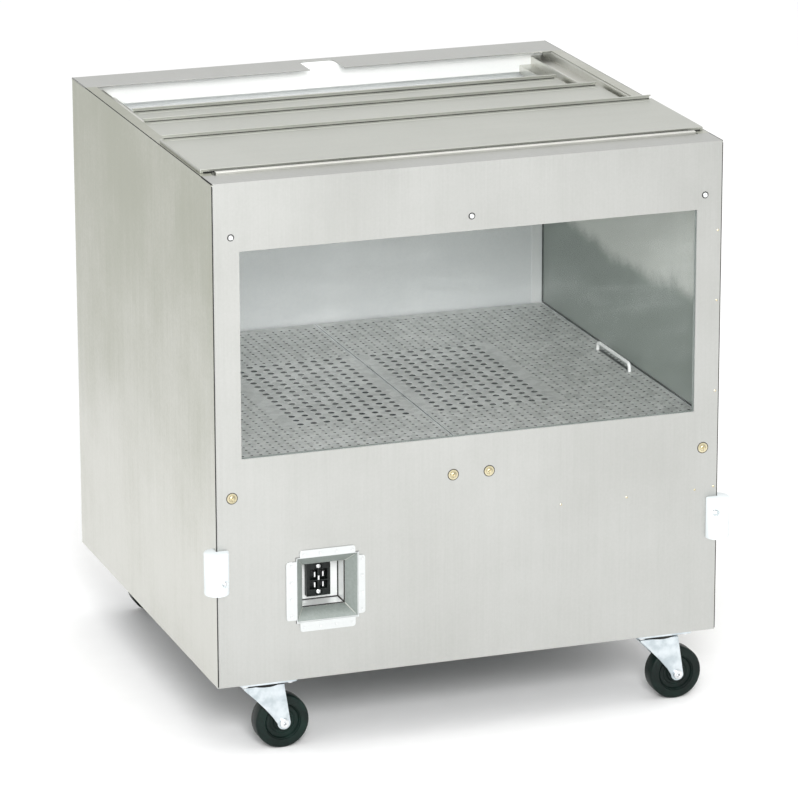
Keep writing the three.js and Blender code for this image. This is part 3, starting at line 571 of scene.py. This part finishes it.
LIDS = ("lid_front", "lid_middle", "lid_rear")
LIP = 4.8 * MM
BEAD_AHEAD, BEAD_INSET, HEM_INSET = 13 * MM, 9 * MM, 2.4 * MM


def line_along_x(low, high, inset, y, z):
    return Vector((low.x + inset, y, z)), Vector((high.x - inset, y, z))


for name in LIDS:
    low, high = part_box(name)
    bm = bmesh.new()
    bead = line_along_x(low, high, BEAD_INSET, high.y - BEAD_AHEAD, high.z - LIP)
    add_rod(bm, *bead, 1.6 * MM, 0.5 * MM)
    hem = line_along_x(low, high, HEM_INSET, high.y - 1.0 * MM, high.z - 0.3 * MM)
    add_rod(bm, *hem, 1.3 * MM, 0.9 * MM)
    settle(finish_mesh(name + "_bead", bm, lid_steel, smooth=True), name, "stainless")
print("lids with a bead and a hem:", len(LIDS))

# %% [markdown]
# Nothing repeats more than the false floor: each half is one punched sheet with over a thousand
# small holes, half an inch apart, and a block of larger ones near the middle of the cabinet,
# where the damp air rises from the water pan. Geometry Nodes suit this: two grids of points, a
# circle on each, one outline round them, and Fill Curve, which leaves every inner loop open.
# Extruding a turned-over copy gives the sheet its thickness. The turned-down rim is a second,
# narrow fill.

# %% Geometry Nodes helpers
def new_recipe(name, inputs):
    group = bpy.data.node_groups.new(name, "GeometryNodeTree")
    group.interface.new_socket("Geometry", in_out="INPUT", socket_type="NodeSocketGeometry")
    for label, kind in inputs.items():
        group.interface.new_socket(label, in_out="INPUT", socket_type="NodeSocket" + kind)
    group.interface.new_socket("Geometry", in_out="OUTPUT", socket_type="NodeSocketGeometry")
    tree = Tree(group)
    source = group.nodes.new("NodeGroupInput")
    ports = {output.name: Value(tree, output) for output in source.outputs if output.name}
    return group, tree, ports


def close_recipe(tree, geometry, material):
    real = tree.node("GeometryNodeRealizeInstances", {0: geometry})
    dressed = tree.node("GeometryNodeSetMaterial", {"Geometry": real, "Material": material})
    tree.feed(tree.owner.nodes.new("NodeGroupOutput").inputs[0], dressed)


def follow_recipe(name, group, values, host_mesh=None, smooth=False):
    piece = bpy.data.objects.new(name, host_mesh or bpy.data.meshes.new(name))
    scene.collection.objects.link(piece)
    modifier = piece.modifiers.new("recipe", "NODES")
    modifier.node_group = group
    for socket in group.interface.items_tree:
        if socket.in_out == "INPUT" and socket.name in values:
            modifier[socket.identifier] = values[socket.name]
    bpy.context.view_layer.update()
    made = piece.evaluated_get(bpy.context.evaluated_depsgraph_get())
    mesh = bpy.data.meshes.new_from_object(made)
    piece.modifiers.clear()
    piece.data = mesh
    bm = bmesh.new()
    bm.from_mesh(mesh)
    bmesh.ops.remove_doubles(bm, verts=bm.verts, dist=0.002 * MM)
    bmesh.ops.recalc_face_normals(bm, faces=bm.faces)
    bm.to_mesh(mesh)
    bm.free()
    if smooth:
        shade_smooth(mesh)
    print(name, "has", sum(len(p.vertices) - 2 for p in mesh.polygons), "triangles")
    return piece


print("recipe helpers ready")

# %% The punched sheet recipe
punched, tree, port = new_recipe("punched sheet", {
    "Low": "Vector", "High": "Vector", "Seam": "Float", "Side": "Float", "Metal": "Float",
    "Rim": "Float", "Material": "Material"})


def rectangle(inset):
    x0, y0, z0 = tree.parts(port["Low"])
    x1, y1, z1 = tree.parts(port["High"])
    sides = {"Width": x1 - x0 - 2 * inset, "Height": y1 - y0 - 2 * inset}
    quad = tree.node("GeometryNodeCurvePrimitiveQuadrilateral", sides, mode="RECTANGLE")
    centre = tree.vector((x0 + x1) * 0.5, (y0 + y1) * 0.5, 0)
    return tree.node("GeometryNodeTransform", {"Geometry": quad, "Translation": centre})


ROW_MIDDLE = 336.4


def hole_grid(columns, rows, pitch, first, radius, sides, keep_out=None):
    grid = tree.node("GeometryNodeMeshGrid", {
        "Size X": (columns - 1) * pitch * MM, "Size Y": (rows - 1) * pitch * MM,
        "Vertices X": columns, "Vertices Y": rows})
    across = port["Seam"] + port["Side"] * ((first + (columns - 1) * pitch / 2) * MM)
    grid = tree.node("GeometryNodeTransform", {
        "Geometry": grid, "Translation": tree.vector(across, FRONT + ROW_MIDDLE * MM, 0)})
    if keep_out:
        x, y, z = tree.parts(tree.node("GeometryNodeInputPosition", {}))
        reach, y_low, y_high = keep_out
        distance = (x - port["Seam"]) * port["Side"]
        inside = (distance < reach * MM) * (y > FRONT + y_low * MM) * (y < FRONT + y_high * MM)
        grid = tree.node("GeometryNodeDeleteGeometry", {"Geometry": grid, "Selection": inside})
    circle = tree.node("GeometryNodeCurvePrimitiveCircle", {
        "Resolution": sides, "Radius": radius * MM})
    return tree.node("GeometryNodeInstanceOnPoints", {"Points": grid, "Instance": circle})


def plate_from(loops, top, thickness):
    loops = tree.node("GeometryNodeRealizeInstances", {0: loops})
    face = tree.node("GeometryNodeFillCurve", {"Curve": loops})
    face = tree.node("GeometryNodeTransform", {
        "Geometry": face, "Translation": tree.vector(0, 0, top)})
    under = tree.node("GeometryNodeFlipFaces", {0: face})
    walls = tree.node("GeometryNodeExtrudeMesh", {
        "Mesh": under, "Offset": tree.vector(0, 0, -1), "Offset Scale": thickness,
        "Individual": False})
    return tree.node("GeometryNodeJoinGeometry", {0: [face, walls]})


outline = rectangle(0.0)
small_holes = hole_grid(columns=28, rows=50, pitch=12.68, first=7.6, radius=2.2, sides=8,
                        keep_out=(205, 179, 494))
large_holes = hole_grid(columns=9, rows=16, pitch=19.25, first=25.3, radius=4.75, sides=12)
loops = tree.node("GeometryNodeJoinGeometry", {0: [outline, small_holes, large_holes]})
floor_top = tree.parts(port["High"])[2]
sheet = plate_from(loops, floor_top, port["Metal"])
rim_loops = tree.node("GeometryNodeJoinGeometry", {0: [rectangle(0.0), rectangle(METAL)]})
rim = plate_from(rim_loops, floor_top - port["Metal"], port["Rim"])
close_recipe(tree, tree.node("GeometryNodeJoinGeometry", {0: [sheet, rim]}), port["Material"])
print("nodes in the punched sheet recipe:", len(punched.nodes))

# %% Two floor panels
seam = {"left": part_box("floor_panel_left")[1].x, "right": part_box("floor_panel_right")[0].x}
for side, facing in (("left", -1.0), ("right", 1.0)):
    node = "floor_panel_" + side
    low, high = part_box(node)
    panel = follow_recipe(node + "_punched", punched, {
        "Low": low, "High": high, "Seam": seam[side], "Side": facing, "Metal": METAL,
        "Rim": high.z - low.z - METAL, "Material": floor_sheet})
    settle(panel, body_of_node[node], "galvanised", node)
    bm = bmesh.new()
    wall_side = low.x if facing < 0 else high.x
    level = high.z - 0.4 * MM
    for x in (seam[side] + facing * MM, wall_side - facing * MM):
        ends = Vector((x, low.y + MM, level)), Vector((x, high.y - MM, level))
        add_rod(bm, *ends, 1.2 * MM, 0.9 * MM)
    hem = finish_mesh(node + "_hem", bm, bright_zinc, smooth=True)
    settle(hem, body_of_node[node], "galvanised")

# %% [markdown]
# A screw, a rivet or a spot weld is drawn once, by turning a profile round an axis as a lathe
# does, and a small recipe then puts a copy on each marked point, gives each its own random turn
# from a fixed seed, and makes them real. The profile is a list of radius and height in
# millimetres; one that starts on the axis ends there too, and any other is a ring that closes on
# itself. A cross recess is cut into the head of a screw only once, before it is copied.

# %% Lathe and boolean helpers
AXES = {"x": (Vector((0, 1, 0)), Vector((0, 0, 1)), Vector((1, 0, 0))),
        "y": (Vector((0, 0, 1)), Vector((1, 0, 0)), Vector((0, 1, 0))),
        "z": (Vector((1, 0, 0)), Vector((0, 1, 0)), Vector((0, 0, 1)))}


def add_turned(bm, profile, centre, axis="z", sides=32):
    side, up, along = AXES[axis]
    rows = []
    for radius, height in profile:
        level = centre + along * height * MM
        ring = ring_of(level, side, up, (radius * MM, radius * MM), sides) if radius else [level]
        rows.append([bm.verts.new(p) for p in ring])
    closing = rows[:1] if profile[0][0] > 0 else []
    for lower, upper in zip(rows, rows[1:] + closing):
        for k in range(sides):
            corners = [lower[k % len(lower)], lower[(k + 1) % len(lower)],
                       upper[(k + 1) % len(upper)], upper[k % len(upper)]]
            corners = list(dict.fromkeys(corners))
            if len(corners) > 2:
                bm.faces.new(corners)


def add_block(bm, low, high):
    made = bmesh.ops.create_cube(bm, size=1)
    for vert in made["verts"]:
        vert.co = Vector([(low, high)[vert.co[i] > 0][i] for i in range(3)])


def cut(piece, tools):
    for tool in tools:
        modifier = piece.modifiers.new("cut", "BOOLEAN")
        modifier.object = tool
        modifier.operation = "DIFFERENCE"
        modifier.solver = "EXACT"
    bpy.context.view_layer.update()
    made = piece.evaluated_get(bpy.context.evaluated_depsgraph_get())
    mesh = bpy.data.meshes.new_from_object(made)
    piece.modifiers.clear()
    piece.data = mesh
    for tool in tools:
        bpy.data.objects.remove(tool)


print("lathe ready")

# %% The fastener recipe
fasteners, tree, port = new_recipe("fasteners", {
    "Head": "Object", "Spin": "Vector", "Seed": "Int", "Material": "Material"})
head_mesh = tree.node("GeometryNodeObjectInfo", {"Object": port["Head"]}, out="Geometry")
FULL_TURN = 6.283
draw = {2: 0.0, 3: FULL_TURN, "Seed": port["Seed"]}
random_turn = tree.node("FunctionNodeRandomValue", draw, out=1, data_type="FLOAT")
spin_x, spin_y, spin_z = tree.parts(port["Spin"])
turned_by = tree.vector(spin_x * random_turn, spin_y * random_turn, spin_z * random_turn)
copies = tree.node("GeometryNodeInstanceOnPoints", {
    "Points": port["Geometry"], "Instance": head_mesh, "Rotation": turned_by})
close_recipe(tree, copies, port["Material"])


def fasten(name, head, points, material, seed, spin=(0, 1, 0)):
    marks = bpy.data.meshes.new(name + "_marks")
    marks.from_pydata([tuple(p) for p in points], [], [])
    values = {"Head": head, "Spin": spin, "Seed": seed, "Material": material}
    return follow_recipe(name, fasteners, values, marks, smooth=True)


print("nodes in the fastener recipe:", len(fasteners.nodes))

# %% [markdown]
# Four kinds of fastener show on this cabinet: small cross-head screws that hold the window,
# larger yellow plated ones with a pressed washer under the head, short rivets in a row on the
# right half of the front and up its right edge, and the faint dimples that a spot welder's
# electrodes leave on the inlet's flanges. A dark disc under each of the window's screws and each
# yellow one is painted shade round its head.

# %% Draw each fastener once
def screw_head(name, radius, height, washer, cross):
    bm = bmesh.new()
    profile = [(0, -height), (0.35 * radius, -0.98 * height), (0.7 * radius, -0.84 * height),
               (0.92 * radius, -0.55 * height), (radius, -0.2 * height), (radius, 0), (0, 0)]
    add_turned(bm, profile, Vector(), "y", 24)
    if washer:
        ring = [(radius * 0.9, -0.9), (washer - 0.35, -0.8), (washer, -0.45), (washer, 0.1),
                (radius * 0.9, 0.1)]
        add_turned(bm, ring, Vector(), "y", 24)
    head = finish_mesh(name, bm, bright_zinc, smooth=True)
    tools = []
    for wide, tall in ((cross, 0.28 * cross), (0.28 * cross, cross)):
        tool = bmesh.new()
        add_block(tool, Vector((-wide, -2 * height, -tall)) * MM,
                  Vector((wide, -0.45 * height, tall)) * MM)
        tools.append(finish_mesh(name + "_tool", tool, bright_zinc))
    cut(head, tools)
    shade_smooth(head.data)
    return head


def turned_head(name, profile, sides, axis="y"):
    bm = bmesh.new()
    add_turned(bm, profile, Vector(), axis, sides)
    return finish_mesh(name, bm, bright_zinc, smooth=True)


small_head = screw_head("small_head", radius=3.7, height=2.2, washer=0, cross=1.9)
large_head = screw_head("large_head", radius=4.7, height=3.0, washer=7.1, cross=2.6)
rivet_head = turned_head("rivet_head", [
    (0, -0.7), (1.0, -0.55), (1.6, -0.1), (1.6, 0.05), (0, 0.05)], 12)
weld_dimple = turned_head("weld_dimple", [
    (0, -0.12), (0.9, -0.14), (1.3, -0.42), (1.9, -0.34), (2.2, 0.05), (0, 0.05)], 16)
shadow_ring = turned_head("shadow_ring", [(0, -0.14), (4.6, -0.14), (4.9, 0.05), (0, 0.05)], 24)
wide_ring = turned_head("wide_ring", [(0, -0.12), (7.9, -0.12), (8.2, 0.05), (0, 0.05)], 32)
print("fasteners drawn once")

# %% Fix the screws and rivets
def seat_of(node, y):
    low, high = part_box(node)
    return Vector(((low.x + high.x) / 2, y, (low.z + high.z) / 2))


window_screws = ["window_screw_left", "window_screw_centre", "window_screw_right"]
ledge_screws = [f"ledge_screw_{k}" for k in (1, 2, 3, 4)]
bumper_screws = ["bumper_screw_left", "bumper_screw_right"]
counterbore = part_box("bumper_screw_left")[0].y + 2.6 * MM
window_seats = [seat_of(node, FRONT) for node in window_screws]
ledge_seats = [seat_of(node, FRONT) for node in ledge_screws]
bumper_seats = [seat_of(node, counterbore) for node in bumper_screws]
settle(fasten("window_screws", small_head, window_seats, bright_zinc, 3),
       "cabinet", "zinc", *window_screws)
settle(fasten("ledge_screws", large_head, ledge_seats, yellow_zinc, 5),
       "cabinet", "screw_brass", *ledge_screws)
settle(fasten("bumper_screws", small_head, bumper_seats, bright_zinc, 8),
       "cabinet", "zinc", *bumper_screws)
# Dark discs under the window screws and the yellow screws are painted shade round their heads.
settle(fasten("screw_gaps", shadow_ring, window_seats, crease, 9), "cabinet", "zinc")
settle(fasten("washer_gaps", wide_ring, ledge_seats, crease, 9), "cabinet", "zinc")

rivet_places = [place(x, 0, 207) for x in (494, 591, 692)]
rivet_places += [place(720, 0, z) for z in (209, 347, 476, 575)]
rivets = fasten("front_rivets", rivet_head, rivet_places, yellow_zinc, 13)
settle(rivets, "cabinet", "stainless")

MOUTH = {"left": 113, "right": 200, "bottom": 81, "top": 172}
weld_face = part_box("inlet_bezel")[0].y
weld_places = []
for share in (0.11, 0.38, 0.64, 0.9):
    across = MOUTH["left"] + share * (MOUTH["right"] - MOUTH["left"])
    along = MOUTH["bottom"] + share * (MOUTH["top"] - MOUTH["bottom"])
    for x, z in ((across, MOUTH["top"] + 5.5), (across, MOUTH["bottom"] - 7),
                 (MOUTH["left"] - 8, along), (MOUTH["right"] + 5.5, along)):
        weld_places.append(Vector((place(x, 0, 0).x, weld_face, place(0, 0, z).z)))
welds = fasten("spot_welds", weld_dimple, weld_places, bezel_steel, 21)
settle(welds, "cabinet", "stainless")

# %% [markdown]
# The power inlet sits at the bottom of a square funnel folded from four sheet flaps, which meet
# in mitred seams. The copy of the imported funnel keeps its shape, and each mitre gets a fine weld
# line, a thin rod sunk in the corner. Behind the funnel stands a black moulded inlet, with a
# yoke screw above and below, and with flat blades in four recesses.

# %% Inlet funnel
sheet_part("inlet_bezel", bezel_steel, "stainless", bend=0.5, cut=0.15)
throat_low, throat_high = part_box("inlet_box")
bm = bmesh.new()
for x, throat_x in ((MOUTH["left"], throat_low.x + MM), (MOUTH["right"], throat_high.x - MM)):
    for z, throat_z in ((MOUTH["bottom"], throat_low.z + MM), (MOUTH["top"], throat_high.z - MM)):
        throat_corner = Vector((throat_x, throat_low.y - 0.6 * MM, throat_z))
        add_rod(bm, place(x, 0.4, z), throat_corner, 0.5 * MM, 0.5 * MM, 6)
settle(finish_mesh("inlet_mitres", bm, rail_steel, smooth=True), "cabinet", "stainless")
print("mitre seams drawn")

# %% Power inlet
inlet_low, inlet_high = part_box("power_inlet")
centre = (inlet_low + inlet_high) / 2
YOKE = 18.2


def inlet_block(bm, x, y, z):
    """A block from three (low, high) pairs: y from the inlet's face, the others from its centre."""
    ends = (Vector((centre.x + x[k] * MM, inlet_low.y + y[k] * MM, centre.z + z[k] * MM))
            for k in (0, 1))
    add_block(bm, *ends)


bm = bmesh.new()
add_block(bm, inlet_low, inlet_high)
shell = finish_mesh("power_inlet_case", bm, black_moulding)
recesses = [(x, (-1, 9), z) for z in ((-1, 14), (-14, -3)) for x in ((-12.5, -1.8), (1.8, 12.5))]
recesses += [((-5, 5), (-1, 1.6), (z - 2.6, z + 2.6)) for z in (YOKE, -YOKE)]
tools = []
for recess in recesses:
    tool = bmesh.new()
    inlet_block(tool, *recess)
    tools.append(finish_mesh("recess_tool", tool, black_moulding))
cut(shell, tools)
bm = bmesh.new()
bm.from_mesh(shell.data)
bmesh.ops.dissolve_limit(bm, angle_limit=FLAT, verts=bm.verts, edges=bm.edges)
ease_edges(bm, 0.7, 0.3)
bm.to_mesh(shell.data)
bm.free()
settle(shell, "cabinet", "socket", "power_inlet")

bm = bmesh.new()
for z in (6.5, -8.2):
    for x in (-5.2, 6.6):
        inlet_block(bm, (x - 0.9, x + 0.9), (1.2, 9.5), (z - 3.4, z + 3.4))
inlet_block(bm, (-1.1, 1.1), (-0.3, 0.6), (-1.2, 4.8))
settle(finish_mesh("inlet_blades", bm, bright_zinc), "cabinet", "socket")
yoke_seats = [Vector((centre.x, inlet_low.y + 1.7 * MM, centre.z + z * MM)) for z in (YOKE, -YOKE)]
yoke_screws = fasten("yoke_screws", small_head, yoke_seats, bright_zinc, 34)
settle(yoke_screws, "cabinet", "socket")
print("inlet recesses:", len(recesses))

# %% [markdown]
# The corner bumpers are lengths of white nylon bar with a quarter sawn out, so that they wrap
# the cabinet's corner. Their ends are chamfered on the lathe, and a counterbore lets the screw's
# head sit below the surface. The round bar is turned first, then cut twice.

# %% Corner bumpers
GAP = 0.3 * MM
REACH = 30 * MM
for side, corner_x, outward in (("left", LEFT, -1), ("right", RIGHT, 1)):
    node = "bumper_" + side
    low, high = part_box(node)
    radius = (FRONT - low.y) / MM
    length = (high.z - low.z) / MM
    bm = bmesh.new()
    bar = [(0, 0), (radius - 2.2, 0), (radius - 0.7, 0.6), (radius, 2.2), (radius, length - 2.2),
           (radius - 0.7, length - 0.6), (radius - 2.2, length), (0, length)]
    add_turned(bm, bar, Vector((corner_x, FRONT, low.z)), "z", 56)
    bumper = finish_mesh(node + "_bar", bm, nylon)
    quarter = bmesh.new()
    near_x, far_x = sorted((corner_x + outward * GAP, corner_x - outward * REACH))
    add_block(quarter, Vector((near_x, FRONT - GAP, low.z - MM)),
              Vector((far_x, FRONT + REACH, high.z + MM)))
    seat = seat_of("bumper_screw_" + side, counterbore + 0.1 * MM)
    bore = bmesh.new()
    add_turned(bore, [(0, -30), (5.0, -30), (5.0, 0), (0, 0)], seat, "y", 28)
    cut(bumper, [finish_mesh("quarter_tool", quarter, nylon),
                 finish_mesh("bore_tool", bore, nylon)])
    shade_smooth(bumper.data)
    settle(bumper, "cabinet", "nylon", node)
print("bumper radius:", round(radius, 1), "mm")

# %% [markdown]
# Every caster has a plate held by four bolts, a ball race ringed by a dark seam of painted shade,
# a fork that is pressed from one sheet and swivels under it, and a wheel on a hollow rivet. The
# wheel
# is turned with the lathe helper: a flat hub, a recessed web with faint rings, a fine groove and
# a rim with a rounded tread. The fork is the imported one with rounded bends. The rivet rides with
# the fork, and the wheel on its own body, so it rolls.

# %% Casters
def add_mirrored(bm, half, centre, axis, sides):
    other_half = [(radius, -height) for radius, height in reversed(half)]
    add_turned(bm, half + other_half, centre, axis, sides)


bolt_head = turned_head("bolt_head", [
    (0, -3.4), (3.6, -3.4), (4.3, -2.8), (4.3, 0.05), (0, 0.05)], 6, "z")
BOLT_INSET = 9 * MM
casters = [f"{end}_{side}" for end in ("front", "rear") for side in ("left", "right")]
for name in casters:
    plate_low, plate_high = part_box("caster_plate_" + name)
    sheet_part("caster_plate_" + name, caster_zinc, "zinc", bend=0.8, cut=0.3)
    sheet_part("caster_fork_" + name, caster_zinc, "zinc", bend=3.2, cut=0.4)
    bolts = [Vector((x, y, plate_high.z - 3.2 * MM))
             for x in (plate_low.x + BOLT_INSET, plate_high.x - BOLT_INSET)
             for y in (plate_low.y + BOLT_INSET, plate_high.y - BOLT_INSET)]
    bolted = fasten("caster_bolts_" + name, bolt_head, bolts, bright_zinc, 41, (0, 0, 1))
    settle(bolted, "cabinet", "zinc")

    pivot = (plate_low + plate_high) / 2
    pivot.z = plate_low.z
    # A thin dark ring round the ball race is painted shade in its gap.
    bm = bmesh.new()
    add_turned(bm, [(22.5, 0.1), (24.6, 0.1), (24.6, 4.2), (22.5, 4.2)], pivot, "z", 40)
    settle(finish_mesh("race_grease_" + name, bm, crease, smooth=True), "cabinet", "zinc")

    low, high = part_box("caster_wheel_" + name)
    hub = (low + high) / 2
    radius, half = (high.z - low.z) / 2 / MM, (high.y - low.y) / 2 / MM
    bm = bmesh.new()
    add_mirrored(bm, [
        (4.3, -half), (11.6, -half), (12.7, 0.9 - half), (13.6, 3.6 - half), (16.4, 3.8 - half),
        (16.9, 3.2 - half), (17.7, 3.2 - half), (18.2, 3.8 - half), (22.6, 3.9 - half),
        (23.6, 1.6 - half), (24.3, 1.0 - half), (24.8, 2.0 - half), (25.5, 2.0 - half),
        (26.0, 1.0 - half), (radius - 3.2, 1.1 - half), (radius - 1.6, 1.7 - half),
        (radius - 0.5, 2.9 - half), (radius, 4.6 - half)], hub, "y", 72)
    settle(finish_mesh("wheel_" + name, bm, black_wheel, smooth=True), "wheel_" + name, "wheel",
           "caster_wheel_" + name)

    low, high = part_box("caster_axle_" + name)
    end = (high.y - low.y) / 2 / MM
    bm = bmesh.new()
    add_mirrored(bm, [
        (0, 7 - end), (2.3, 6.6 - end), (2.5, 0.5 - end), (3.1, -end), (5.2, -end),
        (6.1, 0.6 - end), (6.4, 1.8 - end), (6.4, 3.9 - end), (4.0, 4.0 - end)],
        (low + high) / 2, "y", 36)
    settle(finish_mesh("rivet_" + name, bm, bright_zinc, smooth=True), "swivel_" + name, "zinc",
           "caster_axle_" + name)
print("casters:", len(casters))

# %% [markdown]
# The two lifting handles of the false floor are plain rods, bent down at both ends.

# %% Floor handles
def add_bent_rod(bm, low, high, thickness, bend, sides=14):
    x = (low.x + high.x) / 2
    radius = thickness / 2
    level = high.z - radius
    path = [Vector((x, low.y + radius, low.z))]
    ends = ((low.y + radius + bend, math.pi), (high.y - radius - bend, math.pi / 2))
    for middle_y, start in ends:
        for k in range(7):
            turn = start - k * math.pi / 12
            path.append(Vector((x, middle_y + bend * math.cos(turn),
                                level - bend + bend * math.sin(turn))))
    path.append(Vector((x, high.y - radius, low.z)))
    rings = []
    for k, point in enumerate(path):
        along = (path[min(k + 1, len(path) - 1)] - path[max(k - 1, 0)]).normalized()
        side = Vector((1, 0, 0))
        ring = ring_of(point, side, side.cross(along), (radius, radius), sides)
        rings.append([bm.verts.new(p) for p in ring])
    for lower, upper in zip(rings, rings[1:]):
        for k in range(sides):
            bm.faces.new((lower[k], lower[(k + 1) % sides], upper[(k + 1) % sides], upper[k]))
    bm.faces.new(rings[0])
    bm.faces.new(rings[-1])


for side in ("left", "right"):
    low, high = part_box("floor_handle_" + side)
    bm = bmesh.new()
    add_bent_rod(bm, low, high, high.x - low.x, 7 * MM)
    settle(finish_mesh("handle_" + side, bm, painted_highlight_rail, smooth=True),
           "floor_panel_" + side, "zinc", "floor_handle_" + side)
print("handle rod:", round((high.x - low.x) / MM, 1), "mm thick")

# %% Put the drawn fasteners away
templates = (small_head, large_head, rivet_head, weld_dimple, shadow_ring, wide_ring, bolt_head)
for drawn in templates:
    bpy.data.objects.remove(drawn)
print("templates removed:", len(templates))

# %% [markdown]
# A dark line of painted shade lies wherever two sheets or folds meet. It lies at the foot
# of each lid's standing lip and under the front lid's edge. In the chamber it runs up the two back
# corners, along the foot of each side wall, beside the handles and along the floor's seam.
# Outside it marks the front corners and the sides' top edges, and it edges the inlet's box.

# %% Dark creases
creases = []


# Each dark line is a thin rod in the painted shade colour.
def crease_line(name, body, ends, wide, high):
    bm = bmesh.new()
    add_rod(bm, *ends, wide * MM, high * MM, 8)
    settle(finish_mesh(name, bm, crease, smooth=True), body, "stainless")
    creases.append(name)


def line_along_y(low, high, inset, x, z):
    return Vector((x, low.y + inset, z)), Vector((x, high.y - inset, z))


for name in LIDS:
    low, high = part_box(name)
    foot = line_along_x(low, high, 5 * MM, high.y - 1.9 * MM, high.z - LIP)
    crease_line(name + "_crease", name, foot, 1.3, 0.5)
low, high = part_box("lid_front")
front_edge = line_along_x(low, high, 4 * MM, low.y + 0.6 * MM, low.z + 0.7 * MM)
crease_line("lid_front_shadow", "lid_front", front_edge, 1.0, 1.3)
for name, edge, outward in (("left", 0, -1), ("right", WIDTH, 1)):
    x = edge - outward * 2.0
    crease_line("back_corner_" + name, "cabinet",
                (place(x, DEPTH - 3.4, 300), place(x, DEPTH - 3.4, 655)), 1.3, 1.3)
    crease_line("wall_foot_" + name, "cabinet",
                (place(x, 20, 299.6), place(x, DEPTH - 4, 299.6)), 1.7, 1.5)
for name, edge, outward in (("left", 0, -1), ("right", WIDTH, 1)):
    x = edge - outward * 0.7
    crease_line("front_corner_" + name, "cabinet",
                (place(x, 0.9, 2), place(x, 0.9, HEIGHT - 3)), 0.7, 0.7)
    crease_line("top_edge_" + name, "cabinet",
                (place(x, 2, HEIGHT - 0.6), place(x, DEPTH - 2, HEIGHT - 0.6)), 0.75, 0.75)

low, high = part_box("inlet_box")
inside = 1.3 * MM
near, far = low.y + MM, high.y - inside
left, right = low.x + inside, high.x - inside
foot, head = low.z + inside, high.z - inside
for name, start, end in (
        ("back_right", (right, far, foot), (right, far, head)),
        ("back_foot", (left, far, foot), (right, far, foot)),
        ("foot_right", (right, near, foot), (right, far, foot)),
        ("mouth_right", (right, near, foot), (right, near, head)),
        ("mouth_foot", (left, near, foot), (right, near, foot))):
    crease_line("inlet_" + name, "cabinet", (Vector(start), Vector(end)), 1.1, 1.1)

for side in ("left", "right"):
    low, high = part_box("floor_handle_" + side)
    beside = line_along_y(low, high, 6 * MM, (low.x + high.x) / 2 + 2.2 * MM, low.z + 0.2 * MM)
    crease_line("handle_shadow_" + side, "floor_panel_" + side, beside, 2.6, 0.25)
low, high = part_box("floor_panel_left")
seam_line = line_along_y(low, high, 2 * MM, high.x + 0.5 * MM, high.z - 0.5 * MM)
crease_line("floor_seam", "floor_panel_left", seam_line, 0.6, 0.6)
print("creases:", len(creases))

# %% [markdown]
# The studio floor is a plain pale sheet, large enough that its edge is never seen.

# %% Studio floor
bm = bmesh.new()
bmesh.ops.create_grid(bm, x_segments=1, y_segments=1, size=30)
floor = finish_mesh("studio_floor", bm, pale_floor)
print("studio floor:", floor.dimensions.x, "m wide")
